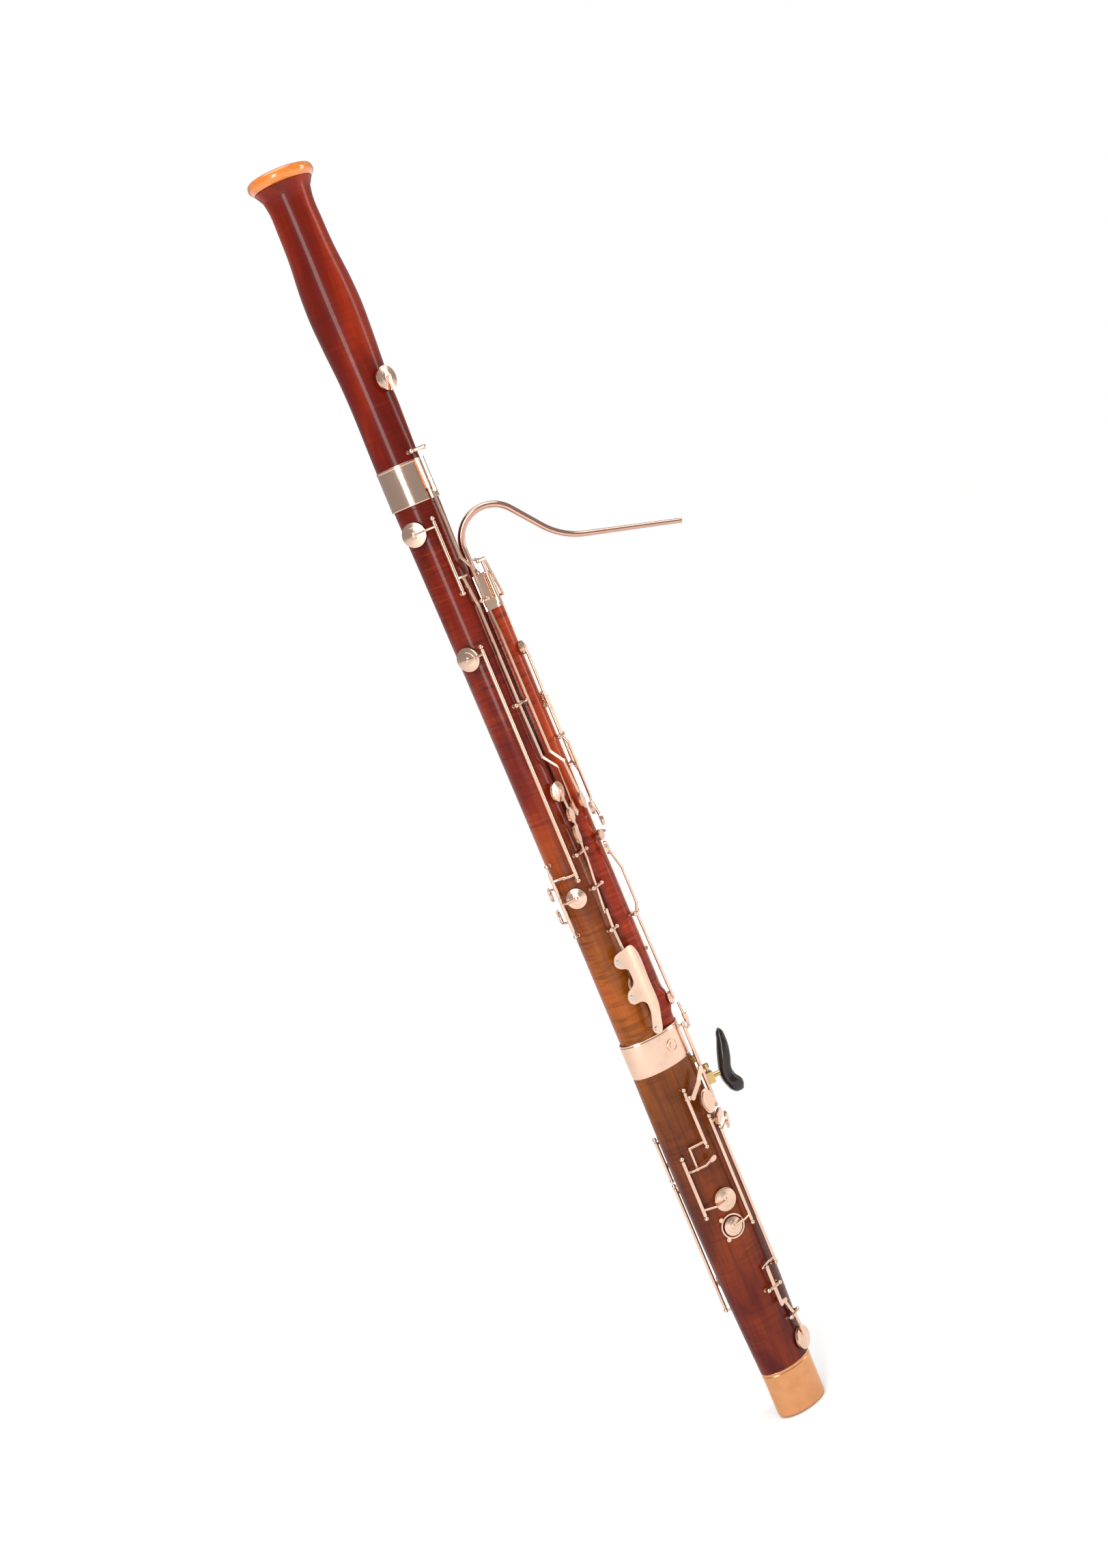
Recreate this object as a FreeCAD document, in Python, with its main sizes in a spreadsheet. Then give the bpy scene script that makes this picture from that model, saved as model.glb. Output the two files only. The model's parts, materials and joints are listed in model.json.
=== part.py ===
import FreeCAD, Part
import math
import os
import Sketcher
from FreeCAD import Placement, Rotation, Vector

# A bassoon. The origin is the centre of the boot cap's flat foot, +Z runs up the instrument,
# +X points from the bass joint to the wing joint, and -Y is the player's (thumb key) side.
# Angles go round a joint's own axis from -Y towards +X, in degrees. Heights are in millimetres.

doc = FreeCAD.newDocument("Bassoon")

SIZES = (
    # lengths along the instrument, from the foot up
    ("capHeight", 52.0), ("bootLength", 342.0), ("bandHeight", 37.0), ("bassLength", 574.0),
    ("bellSleeveHeight", 41.0), ("bellLength", 281.0), ("ringHeight", 13.0),
    ("wingLength", 453.0), ("wingSleeveHeight", 36.0),
    # places of the two bores
    ("bassOffset", 11.5), ("wingOffset", 17.3),
    # boot
    ("footHalfWide", 29.6), ("footHalfDeep", 18.6), ("bellyHalfWide", 34.9), ("bellyHalfDeep", 22.2),
    ("topHalfWide", 33.9), ("topHalfDeep", 21.8), ("metalWall", 0.8), ("seatGap", 0.05),
    ("tenonLength", 60.0), ("corkWall", 0.9), ("bassTenonRadius", 15.8), ("wingTenonRadius", 9.5),
    ("bootBoreRadius", 7.5), ("tubeWall", 0.9), ("plateHeight", 34.0), ("plateWall", 1.8),
    # bass joint and bell
    ("bassRadius", 20.0), ("bassTopRadius", 23.0), ("bassBoreRadius", 12.4), ("bassTopBoreRadius", 16.2),
    ("bellTenonRadius", 18.4), ("bellTenonLength", 40.0),
    ("bellSleeveRadius", 24.7), ("bellWaistRadius", 23.4), ("bellBellyRadius", 26.8),
    ("bellNeckRadius", 22.4), ("bellFlareRadius", 29.0), ("ringRadius", 33.3), ("mouthRadius", 18.5),
    # wing joint
    ("wingRadius", 15.2), ("wingBoreRadius", 6.2), ("wingTopBoreRadius", 3.4), ("scoopGap", 0.5),
    ("lobeRadius", 13.0), ("lobeOffset", 10.0),
    ("socketBoreRadius", 4.3), ("socketWall", 0.9), ("socketDepth", 24.0), ("fingerHoleRadius", 2.6),
    # bocal
    ("bocalRadius", 3.9), ("bocalTipRadius", 2.45), ("bocalWall", 0.6), ("bocalInsert", 20.0),
    ("bocalRise", 27.0), ("humpRadius", 32.5), ("humpTurn", 141.0), ("dropRun", 34.5),
    ("tailRadius", 70.0), ("tailTurn", 36.3), ("tailRun", 79.0), ("tipRun", 17.0), ("swivelGap", 0.06),
    # keywork
    ("rodRadius", 1.1), ("hingeGap", 0.06), ("hingeRadius", 1.9), ("ballRadius", 2.4), ("postRadius", 1.2),
    ("rodStand", 5.5), ("endGap", 0.35), ("padGap", 0.4), ("padHeight", 2.6), ("cupRadius", 12.0),
    ("smallCupRadius", 7.0), ("leverThick", 1.6), ("leverWide", 4.0),
    # hand rest
    ("crutchReach", 15.4), ("crutchThick", 7.0), ("handScrewRadius", 1.6),
)

sheet = doc.addObject("Spreadsheet::Sheet", "Sizes")
for row, (alias, value) in enumerate(SIZES, start=1):
    sheet.set("A%d" % row, alias)
    sheet.set("B%d" % row, str(value))
    sheet.setAlias("B%d" % row, alias)
doc.recompute()


class Dim:
    """A length that keeps its value and the sheet expression that gives it."""

    def __init__(self, value, text):
        self.value = value
        self.text = text

    def __float__(self):
        return float(self.value)

    def join(self, other, sign):
        other = as_dim(other)
        value = self.value + other.value if sign == "+" else self.value - other.value
        return Dim(value, "(%s %s %s)" % (self.text, sign, other.text))

    def __add__(self, other):
        return self.join(other, "+")

    def __sub__(self, other):
        return self.join(other, "-")

    def __mul__(self, factor):
        return Dim(self.value * factor, "(%s * %s)" % (self.text, factor))

    def __neg__(self):
        return self * -1


def as_dim(value):
    return value if isinstance(value, Dim) else Dim(float(value), "%s" % value)


class Size:
    """Reads a named cell of the sheet."""

    def __getattr__(self, alias):
        return Dim(float(sheet.get(alias)), "Sizes." + alias)


size = Size()
nodes = {}


def bind(thing, prop, dim):
    dim = as_dim(dim)
    thing.setExpression(prop, dim.text)


def place(thing, x=None, y=None, z=None):
    for axis, dim in (("x", x), ("y", y), ("z", z)):
        if dim is not None:
            bind(thing, "Placement.Base." + axis, dim)


# Heights of the main stations
band_foot = size.capHeight + size.bootLength
boot_top = band_foot + size.bandHeight
bell_foot = boot_top + size.bassLength
bell_wood = bell_foot + size.bellSleeveHeight
ring_foot = bell_wood + size.bellLength
wing_top = boot_top + size.wingLength
wing_end = wing_top + size.wingSleeveHeight
socket_foot = boot_top - size.tenonLength
bass_socket = size.bassTenonRadius + size.corkWall + size.seatGap
wing_socket = size.wingTenonRadius + size.corkWall + size.seatGap
bass_x = -size.bassOffset
wing_x = size.wingOffset


def keep(name, thing):
    """Files an object as the sub-part of that name."""
    thing.Label = name
    nodes[name] = thing
    return thing


def solid(name, shape):
    thing = doc.addObject("Part::Feature", name)
    thing.Shape = shape
    return keep(name, thing)


# ---------------------------------------------------------------- turned pieces (PartDesign)

def origin_plane(body, role):
    return [feature for feature in body.Origin.OriginFeatures if feature.Role == role][0]


def turned(name, x, foot, outline):
    """A body turned about its own vertical axis from an outline of (radius, height above its foot)."""
    body = doc.addObject("PartDesign::Body", name)
    sketch = body.newObject("Sketcher::SketchObject", name + "_profile")
    sketch.AttachmentSupport = [(origin_plane(body, "XZ_Plane"), "")]
    sketch.MapMode = "FlatFace"
    corners = [Vector(float(radius), float(height), 0) for radius, height in outline]
    count = len(corners)
    for index in range(count):
        sketch.addGeometry(Part.LineSegment(corners[index], corners[(index + 1) % count]), False)
    for index in range(count):
        sketch.addConstraint(Sketcher.Constraint("Coincident", index, 2, (index + 1) % count, 1))
    for index, (radius, height) in enumerate(outline):
        for kind, dim in (("DistanceX", radius), ("DistanceY", height)):
            dim = as_dim(dim)
            number = sketch.addConstraint(Sketcher.Constraint(kind, -1, 1, index, 1, dim.value))
            if "Sizes" in dim.text:
                sketch.setExpression("Constraints[%d]" % number, dim.text)
    turn = body.newObject("PartDesign::Revolution", name + "_turn")
    turn.Profile = sketch
    turn.ReferenceAxis = (sketch, ["V_Axis"])
    turn.Angle = 360.0
    sketch.Visibility = False
    place(body, x=x, z=foot)
    return keep(name, body)


def make_bell():
    length = size.bellSleeveHeight + size.bellLength
    inner = size.bellSleeveRadius - size.metalWall - size.seatGap
    return turned("bell", bass_x, bell_foot, (
        (size.bellTenonRadius + size.corkWall + size.seatGap, 0),
        (inner, 0),
        (inner, size.bellSleeveHeight),
        (size.bellWaistRadius + 0.4, size.bellSleeveHeight + 0.01),
        (size.bellWaistRadius, size.bellSleeveHeight + 90),
        (size.bellBellyRadius - 0.9, size.bellSleeveHeight + 132),
        (size.bellBellyRadius, size.bellSleeveHeight + 156),
        (size.bellBellyRadius - 1.0, size.bellSleeveHeight + 180),
        (size.bellNeckRadius + 0.5, size.bellSleeveHeight + 218),
        (size.bellNeckRadius, size.bellSleeveHeight + 240),
        (size.bellNeckRadius, length - 12),
        (size.bellNeckRadius + 1.8, length - 5),
        (size.bellFlareRadius, length),
        (size.mouthRadius + 2, length),
        (size.mouthRadius, length - 20),
        (size.bassTopBoreRadius, size.bellTenonLength + 3),
        (size.bellTenonRadius + size.corkWall + size.seatGap, size.bellTenonLength + 3),
    ))


def make_bell_ring():
    lip = size.ringRadius - 1.4
    return turned("bell_ring", bass_x, ring_foot, (
        (size.mouthRadius + 2, 0), (size.bellFlareRadius, 0), (size.ringRadius - 2.6, 1.6),
        (size.ringRadius - 0.5, 4), (size.ringRadius, 7), (lip, size.ringHeight - 2.6),
        (size.ringRadius - 4, size.ringHeight - 0.7), (size.ringRadius - 7.5, size.ringHeight),
        (size.mouthRadius + 4, size.ringHeight - 1.5), (size.mouthRadius + 2, size.ringHeight - 4),
    ))


def make_bell_sleeve():
    inner = size.bellSleeveRadius - size.metalWall
    top = size.bellSleeveHeight
    return turned("bell_sleeve", bass_x, bell_foot, (
        (inner, 0), (size.bellSleeveRadius - 0.4, 0), (size.bellSleeveRadius, 0.8),
        (size.bellSleeveRadius, top - 0.8), (size.bellSleeveRadius - 0.4, top), (inner, top),
    ))


def make_bass_joint():
    tenon = size.tenonLength
    wood = tenon + size.bassLength
    end = wood + size.bellTenonLength
    return turned("bass_joint", bass_x, socket_foot, (
        (size.bassBoreRadius, 0), (size.bassTenonRadius, 0), (size.bassTenonRadius, tenon),
        (size.bassRadius, tenon), (size.bassRadius, tenon + 250), (size.bassTopRadius - 1, wood - 60),
        (size.bassTopRadius, wood - 4), (size.bassTopRadius, wood), (size.bellTenonRadius, wood),
        (size.bellTenonRadius, end), (size.bassTopBoreRadius, end),
    ))


def make_bocal_socket():
    outer = size.socketBoreRadius + size.socketWall
    return turned("bocal_socket", wing_x, wing_end - size.socketDepth, (
        (size.socketBoreRadius, 0), (outer, 0), (outer, size.socketDepth),
        (outer + 1.2, size.socketDepth), (outer + 1.2, size.socketDepth + 2.2),
        (outer + 0.6, size.socketDepth + 3.4), (size.socketBoreRadius, size.socketDepth + 3.4),
    ))


def cork_ring(inner, x, foot, height):
    cork = Part.makeCylinder(float(inner + size.corkWall), height, Vector(float(x), 0, float(foot)))
    hole = Part.makeCylinder(float(inner), height, Vector(float(x), 0, float(foot)))
    return cork.cut(hole)


def make_tenon_corks():
    length = 0.8 * float(size.tenonLength)
    top = 0.8 * float(size.bellTenonLength)
    corks = [
        cork_ring(size.bassTenonRadius, bass_x, socket_foot + 6, length),
        cork_ring(size.wingTenonRadius, wing_x, socket_foot + 6, length),
        cork_ring(size.bellTenonRadius, bass_x, bell_foot + 3, top),
    ]
    return solid("tenon_corks", Part.makeCompound(corks))


# ---------------------------------------------------------------- boot (lofts of ellipses)

def oval(name, wide, deep, height, x=None):
    ellipse = doc.addObject("Part::Ellipse", name)
    bind(ellipse, "MajorRadius", wide)
    bind(ellipse, "MinorRadius", deep)
    place(ellipse, x=x, z=height)
    return ellipse


def loft(name, sections, ruled=False):
    skin = doc.addObject("Part::Loft", name)
    skin.Sections = sections
    skin.Solid = True
    skin.Ruled = ruled
    return skin


def post_cylinder(name, radius, x, foot, height):
    cylinder = doc.addObject("Part::Cylinder", name)
    bind(cylinder, "Radius", radius)
    bind(cylinder, "Height", height)
    place(cylinder, x=x, z=foot)
    return cylinder


def cut(name, base, tool):
    result = doc.addObject("Part::Cut", name)
    result.Base = base
    result.Tool = tool
    return result


def fuse(name, shapes):
    result = doc.addObject("Part::MultiFuse", name)
    result.Shapes = shapes
    return result


def straight_oval(name, wide, deep, foot, top):
    return loft(name, [oval(name + "_low", wide, deep, foot), oval(name + "_high", wide, deep, top)], True)


def make_boot():
    grow = size.bellyHalfWide - size.footHalfWide
    deepen = size.bellyHalfDeep - size.footHalfDeep
    skin = loft("boot_skin", [
        oval("boot_oval_foot", size.footHalfWide, size.footHalfDeep, size.capHeight),
        oval("boot_oval_low", size.footHalfWide + grow * 0.5, size.footHalfDeep + deepen * 0.5,
             size.capHeight + size.bootLength * 0.19),
        oval("boot_oval_mid", size.footHalfWide + grow * 0.96, size.footHalfDeep + deepen * 0.95,
             size.capHeight + size.bootLength * 0.49),
        oval("boot_oval_belly", size.bellyHalfWide, size.bellyHalfDeep, size.capHeight + size.bootLength * 0.70),
        oval("boot_oval_top", size.topHalfWide, size.topHalfDeep, band_foot),
    ])
    gap = size.metalWall + size.seatGap
    plug = straight_oval("boot_plug", size.footHalfWide - gap - 0.4, size.footHalfDeep - gap - 0.4,
                         size.plateHeight, size.capHeight)
    neck = straight_oval("boot_neck", size.topHalfWide - gap, size.topHalfDeep - gap, band_foot, boot_top)
    wood = fuse("boot_wood", [skin, plug, neck])
    bores = fuse("boot_bores", [
        post_cylinder("bass_socket", bass_socket, bass_x, socket_foot, size.tenonLength + 1),
        post_cylinder("wing_socket", wing_socket, wing_x, socket_foot, size.tenonLength + 1),
        post_cylinder("bass_bore", size.bootBoreRadius, bass_x, 1, boot_top),
        post_cylinder("wing_bore", size.bootBoreRadius, wing_x, 1, boot_top),
        finger_hole("boot_finger_hole_high", wing_x - 4, band_foot - 40),
        finger_hole("boot_finger_hole_low", wing_x - 4, band_foot - 78),
    ])
    return keep("boot_body", cut("boot_body", wood, bores))


def finger_hole(name, x, height):
    """A hole from the finger side (+Y) into the small bore."""
    hole = doc.addObject("Part::Cylinder", name)
    bind(hole, "Radius", size.fingerHoleRadius)
    hole.Height = 40.0
    hole.Placement = Placement(Vector(0, 0, 0), Rotation(Vector(1, 0, 0), -90))
    place(hole, x=x, y=0, z=height)
    return hole


def make_boot_band():
    outer = straight_oval("band_outer", size.topHalfWide, size.topHalfDeep, band_foot, boot_top)
    inner = straight_oval("band_inner", size.topHalfWide - size.metalWall, size.topHalfDeep - size.metalWall,
                          band_foot - 1, boot_top + 1)
    return keep("boot_band", cut("boot_band", outer, inner))


def make_boot_cap():
    wall = size.metalWall
    skin = loft("cap_skin", [
        oval("cap_oval_foot", size.footHalfWide - 3.4, size.footHalfDeep - 3.2, 0),
        oval("cap_oval_round", size.footHalfWide - 1.4, size.footHalfDeep - 1.2, 1.4),
        oval("cap_oval_side", size.footHalfWide - 0.6, size.footHalfDeep - 0.5, 4.5),
        oval("cap_oval_rim", size.footHalfWide, size.footHalfDeep, size.capHeight),
    ], True)
    hollow = loft("cap_hollow", [
        oval("cap_in_foot", size.footHalfWide - 3.4 - wall, size.footHalfDeep - 3.2 - wall, wall + 0.4),
        oval("cap_in_side", size.footHalfWide - 0.6 - wall, size.footHalfDeep - 0.5 - wall, 5.0),
        oval("cap_in_rim", size.footHalfWide - wall, size.footHalfDeep - wall, size.capHeight + 1),
    ], True)
    return keep("boot_cap", cut("boot_cap", skin, hollow))


def make_u_tube():
    """The bent tube that joins the two bores below the boot, on its flange plate."""
    half = float(size.bassOffset + size.wingOffset) / 2
    middle = (float(wing_x) + float(bass_x)) / 2
    plate_low = float(size.plateHeight - size.plateWall - size.corkWall)
    outer = float(size.bootBoreRadius + size.tubeWall)
    ends = []
    for radius in (outer, float(size.bootBoreRadius)):
        edge = Part.Circle(Vector(middle + half, 0, plate_low), Vector(0, 0, 1), radius).toShape()
        ends.append(Part.Face(Part.Wire([edge])))
    bend = ends[0].cut(ends[1]).Faces[0].revolve(Vector(middle, 0, plate_low), Vector(0, 1, 0), 180)
    wide = float(size.footHalfWide - size.metalWall) - 1.4
    deep = float(size.footHalfDeep - size.metalWall) - 1.4
    plate = oval_slab(wide, deep, plate_low, float(size.plateWall))
    holes = [round_slug(size.bootBoreRadius, x, plate_low - 1, 9) for x in (bass_x, wing_x)]
    tube = plate.cut(holes[0].fuse(holes[1])).fuse(bend)
    solid("u_tube", tube)
    gasket = oval_slab(wide, deep, plate_low + float(size.plateWall), float(size.corkWall))
    return solid("u_tube_gasket", gasket.cut(holes[0].fuse(holes[1])))


def oval_slab(wide, deep, foot, height):
    edge = Part.Ellipse(Vector(0, 0, foot), wide, deep).toShape()
    return Part.Face(Part.Wire([edge])).extrude(Vector(0, 0, height))


def round_slug(radius, x, foot, height):
    return Part.makeCylinder(float(radius), height, Vector(float(x), 0, float(foot)))


# ---------------------------------------------------------------- wing joint

def cone(name, low_radius, high_radius, height, x, y, foot):
    shape = doc.addObject("Part::Cone", name)
    bind(shape, "Radius1", low_radius)
    bind(shape, "Radius2", high_radius)
    bind(shape, "Height", height)
    place(shape, x=x, y=y, z=foot)
    return shape


def make_wing_joint():
    radius = size.wingRadius
    stem = post_cylinder("wing_stem", radius, wing_x, boot_top, size.wingLength)
    head = post_cylinder("wing_head", radius - size.metalWall - size.seatGap, wing_x, wing_top - 1,
                         size.wingSleeveHeight)
    tenon = post_cylinder("wing_tenon", size.wingTenonRadius, wing_x, socket_foot, size.tenonLength)
    lobe_low = cone("wing_lobe_low", size.lobeRadius - 8, size.lobeRadius, 45, wing_x, size.lobeOffset,
                    boot_top + 145)
    lobe = post_cylinder("wing_lobe", size.lobeRadius, wing_x, boot_top + 190, 120)
    place(lobe, y=size.lobeOffset)
    lobe_high = cone("wing_lobe_high", size.lobeRadius, size.lobeRadius - 8, 45, wing_x, size.lobeOffset,
                     boot_top + 310)
    boss = doc.addObject("Part::Cone", "wing_boss")
    bind(boss, "Radius1", size.smallCupRadius + 5.5)
    bind(boss, "Radius2", size.smallCupRadius + 0.4)
    bind(boss, "Height", radius + 2.6)
    boss.Placement = Placement(Vector(0, 0, 0), outward(48))
    place(boss, x=wing_x, y=0, z=boot_top + 23)
    wood = fuse("wing_wood", [stem, head, lobe_low, lobe, lobe_high, boss])
    scoop = cone("wing_scoop", size.bassRadius + size.scoopGap, size.bassTopRadius + size.scoopGap - 0.5,
                 size.wingLength + size.wingSleeveHeight + 2, bass_x, 0, boot_top - 1)
    body = fuse("wing_body", [cut("wing_hollowed", wood, scoop), tenon])
    bore = cone("wing_long_bore", size.wingBoreRadius, size.wingTopBoreRadius,
                size.tenonLength + size.wingLength + size.wingSleeveHeight + 2, wing_x, 0, socket_foot - 1)
    socket = post_cylinder("wing_socket_bore", size.socketBoreRadius + size.socketWall, wing_x,
                           wing_end - size.socketDepth, size.socketDepth + 1)
    holes = [finger_hole("wing_finger_hole_%d" % number, wing_x, boot_top + rise)
             for number, rise in enumerate((330, 285, 235))]
    tools = fuse("wing_tools", [bore, socket] + holes)
    return keep("wing_joint", cut("wing_joint", body, tools))


def make_wing_sleeve():
    radius = size.wingRadius
    outer = post_cylinder("sleeve_outer", radius + 0.3, wing_x, wing_top, size.wingSleeveHeight)
    inner = post_cylinder("sleeve_inner", radius - size.metalWall, wing_x, wing_top - 1,
                          size.wingSleeveHeight + 2)
    scoop = post_cylinder("sleeve_scoop", size.bassTopRadius + size.scoopGap - 0.4, bass_x, wing_top - 5,
                          size.wingSleeveHeight + 10)
    ring = cut("sleeve_ring", outer, fuse("sleeve_tools", [inner, scoop]))
    return keep("wing_sleeve", ring)


# ---------------------------------------------------------------- directions and keywork shapes

def normal(angle):
    """The unit vector that points away from a joint's axis at that angle."""
    return Vector(math.sin(math.radians(angle)), -math.cos(math.radians(angle)), 0)


def tangent(angle):
    return Vector(math.cos(math.radians(angle)), math.sin(math.radians(angle)), 0)


def outward(angle):
    """The rotation that turns +Z to the outward direction at that angle."""
    return Rotation(Vector(0, 0, 1), normal(angle))


def polar(x, angle, radius, height):
    spot = normal(angle) * float(radius)
    return Vector(float(x) + spot.x, spot.y, float(height))


def shifted(x, angle, side, radius, height):
    """A point given by its place along the tangent and the normal at that angle."""
    spot = normal(angle) * float(radius) + tangent(angle) * float(side)
    return Vector(float(x) + spot.x, spot.y, float(height))


def rod(start, end, radius):
    run = end - start
    return Part.makeCylinder(float(radius), run.Length, start, run)


def ball(centre, radius):
    return Part.makeSphere(float(radius), centre)


def egg(centre, along, facing, length, width, thick):
    """An oval touch plate: a wide oval slab with a narrower one on it."""
    across = facing.cross(along).normalize()
    along = across.cross(facing).normalize()
    slabs = []
    for share, foot, top in ((1.0, -0.5, 0.2), (0.84, 0.2, 0.5)):
        edge = Part.Ellipse(Vector(0, 0, 0), length / 2 * share, width / 2 * share).toShape()
        slab = Part.Face(Part.Wire([edge])).extrude(Vector(0, 0, thick * (top - foot)))
        spot = centre + facing * (thick * foot)
        slab.Placement = Placement(FreeCAD.Matrix(
            along.x, across.x, facing.x, spot.x, along.y, across.y, facing.y, spot.y,
            along.z, across.z, facing.z, spot.z, 0, 0, 0, 1))
        slabs.append(slab)
    return slabs[0].fuse(slabs[1])


def strap(points, width, thick, facing):
    """A flat lever along a line of points, with round ends and round knuckles."""
    pieces = []
    for number, (start, end) in enumerate(zip(points, points[1:])):
        run = end - start
        across = facing.cross(run).normalize()
        through = run.cross(across).normalize()
        edge = min(width, thick) * 0.3
        outline = []
        for u, v in ((width / 2, thick / 2 - edge), (width / 2 - edge, thick / 2),
                     (edge - width / 2, thick / 2), (-width / 2, thick / 2 - edge),
                     (-width / 2, edge - thick / 2), (edge - width / 2, -thick / 2),
                     (width / 2 - edge, -thick / 2), (width / 2, edge - thick / 2)):
            outline.append(start + across * u + through * v)
        face = Part.Face(Part.makePolygon(outline + outline[:1]))
        pieces.append(face.extrude(run))
        if number == 0:
            pieces.append(Part.makeCylinder(width / 2, thick, start - through * (thick / 2), through))
        pieces.append(Part.makeCylinder(width / 2, thick, end - through * (thick / 2), through))
    return pieces


def bar(points, radius):
    """A round arm along a line of points, with a ball at each bend and at its end."""
    pieces = []
    for one, two in zip(points, points[1:]):
        pieces.append(rod(one, two, radius))
        pieces.append(ball(two, radius + 0.15))
    return pieces


def pad_cup(centre, facing, radius):
    """The cup over a pad; centre is the middle of the pad's lower face."""
    radius = float(radius)
    low = centre + facing * 1.1
    rim = Part.makeCylinder(radius, 2.1, low, facing)
    dome = Part.makeCone(radius, radius * 0.28, 1.5, low + facing * 2.1, facing)
    recess = Part.makeCylinder(radius - 0.6, float(size.padHeight) - 1.1 + 0.05, low, facing)
    button = Part.makeCylinder(2.5, 1.3, low + facing * 2.9, facing)
    return rim.fuse([dome, button]).cut(recess)


def pad(centre, facing, radius):
    return Part.makeCylinder(float(radius) - 0.7, float(size.padHeight), centre, facing)


def joined(pieces, start, end):
    """One key: its pieces fused, then bored for its hinge rod between two points."""
    run = end - start
    run.normalize()
    bore = rod(start - run * 8, end + run * 8, size.rodRadius + size.hingeGap)
    whole = pieces[0]
    for piece in pieces[1:]:
        whole = whole.fuse(piece)
    return whole.cut(bore)


def hinge(start, end):
    """The tube that turns on a rod, short of the two posts by the end gap."""
    run = end - start
    run.normalize()
    trim = float(size.ballRadius + size.endGap)
    return rod(start + run * trim, end - run * trim, size.hingeRadius)


def turned_about(shape, start, end, degrees):
    shape = shape.copy()
    shape.rotate(start, end - start, degrees)
    return shape


posts = {"bell": [], "bass": [], "wing": [], "boot": []}
rods = []
guards = []
joint_notes = {}


def post(joint, foot, head, run):
    """A ball post from a foot inside the wood to its ball, bored along the rod's direction."""
    stem = rod(foot, head, size.postRadius)
    collar = rod(foot, foot + (head - foot) * 0.45, size.postRadius + 0.7)
    bore = rod(head - run * 9, head + run * 9, size.rodRadius + 0.02)
    posts[joint].append(stem.fuse([collar, ball(head, size.ballRadius)]).cut(bore))


def rod_between(joint, start, end, centre_x, inside):
    """A hinge rod and its two posts; inside is how far from the joint's axis the posts' feet lie."""
    run = end - start
    run.normalize()
    for head in (start, end):
        axis = Vector(float(centre_x), 0, head.z)
        out = head - axis
        out.normalize()
        post(joint, axis + out * float(inside), head, run)
    rods.append(rod(start - run * 2.2, end + run * 2.2, size.rodRadius))


def boot_half(height):
    """The boot's half width and half depth at a height, between its lofted ovals."""
    rise = (height - float(size.capHeight)) / float(size.bootLength)
    stations = (0.0, 0.19, 0.49, 0.70, 1.0)
    shares = ((0.0, 0.0), (0.5, 0.5), (0.96, 0.95), (1.0, 1.0), None)
    foot = (float(size.footHalfWide), float(size.footHalfDeep))
    belly = (float(size.bellyHalfWide), float(size.bellyHalfDeep))
    top = (float(size.topHalfWide), float(size.topHalfDeep))
    halves = []
    for side in (0, 1):
        values = [foot[side] + (belly[side] - foot[side]) * share[side] for share in shares[:-1]]
        values.append(top[side])
        number = sum(1 for station in stations[1:-1] if rise > station)
        low, high = stations[number], stations[number + 1]
        part = min(1.0, max(0.0, (rise - low) / (high - low)))
        halves.append(values[number] * (1 - part) + values[number + 1] * part)
    return halves


def boot_point(x, stand, height=None):
    """The point that stands off the boot's player side at x, level with its belly or with a height."""
    wide = float(size.bellyHalfWide)
    deep = float(size.bellyHalfDeep)
    if height is not None:
        wide, deep = boot_half(height)
    y = -deep * math.sqrt(max(0.0, 1 - (x / wide) ** 2))
    out = Vector(x / wide ** 2, y / deep ** 2, 0)
    out.normalize()
    return Vector(x, y, 0) + out * stand


# ---------------------------------------------------------------- keys

thick = float(size.leverThick)
wide = float(size.leverWide)


def lever_key(name, x, angle, pivot, span, stand, cup, touch, opening, joint, inside,
              pad_node=None, bends_up=(), bends_down=()):
    """A lever on a cross pivot. cup is (height, side, surface radius, cup radius) or None, touch is
    (height, side, radius, length, width) or None; both measured at the angle. opening is the lever's
    tilt at rest from its closed place, in degrees."""
    face = normal(angle)
    level = float(stand)
    start = shifted(x, angle, span[0], level, pivot)
    end = shifted(x, angle, span[1], level, pivot)
    lane = (span[0] + span[1]) / 2
    rod_between(joint, start, end, x, inside)
    joint_notes[name] = (start, tangent(angle))
    pieces = [hinge(start, end)]
    pads = []
    if cup:
        height, side, surface, radius = cup
        centre = shifted(x, angle, side, float(surface) + float(size.padGap), height)
        top = centre + face * (float(size.padHeight) + 2.4)
        pieces.append(pad_cup(centre, face, radius))
        line = [shifted(x, angle, lane, level, pivot)]
        line += [shifted(x, angle, s, r, z) for z, s, r in bends_up]
        pieces += strap(line + [top], wide, thick, face) if pad_node else bar(line + [top], 1.5)
        pads.append(pad(centre, face, radius))
    elif bends_up:
        line = [shifted(x, angle, lane, level, pivot)]
        line += [shifted(x, angle, s, r, z) for z, s, r in bends_up]
        pieces += strap(line, wide, thick, face)
    if touch:
        height, side, radius, length, width = touch
        spot = shifted(x, angle, side, radius, height)
        line = [shifted(x, angle, lane, level, pivot)]
        line += [shifted(x, angle, s, r, z) for z, s, r in bends_down]
        pieces += bar(line + [spot], 1.4) if cup else strap(line + [spot], wide * 0.85, thick, face)
        pieces.append(egg(spot, Vector(0, 0, 1), face, length, width, 3.0))
    elif bends_down:
        line = [shifted(x, angle, lane, level, pivot)]
        line += [shifted(x, angle, s, r, z) for z, s, r in bends_down]
        pieces += strap(line, wide, thick, face)
    key = joined(pieces, start, end)
    solid(name, turned_about(key, start, end, opening))
    if pad_node:
        solid(pad_node, turned_about(pads[0], start, end, opening))
    return key


def bass_skin(height):
    """The bass joint's radius at a height."""
    rise = float(height) - float(boot_top)
    low, high = float(size.bassRadius), float(size.bassTopRadius)
    whole = float(size.bassLength)
    return low if rise < 250 else low + (high - low) * (rise - 250) / (whole - 250)


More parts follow.
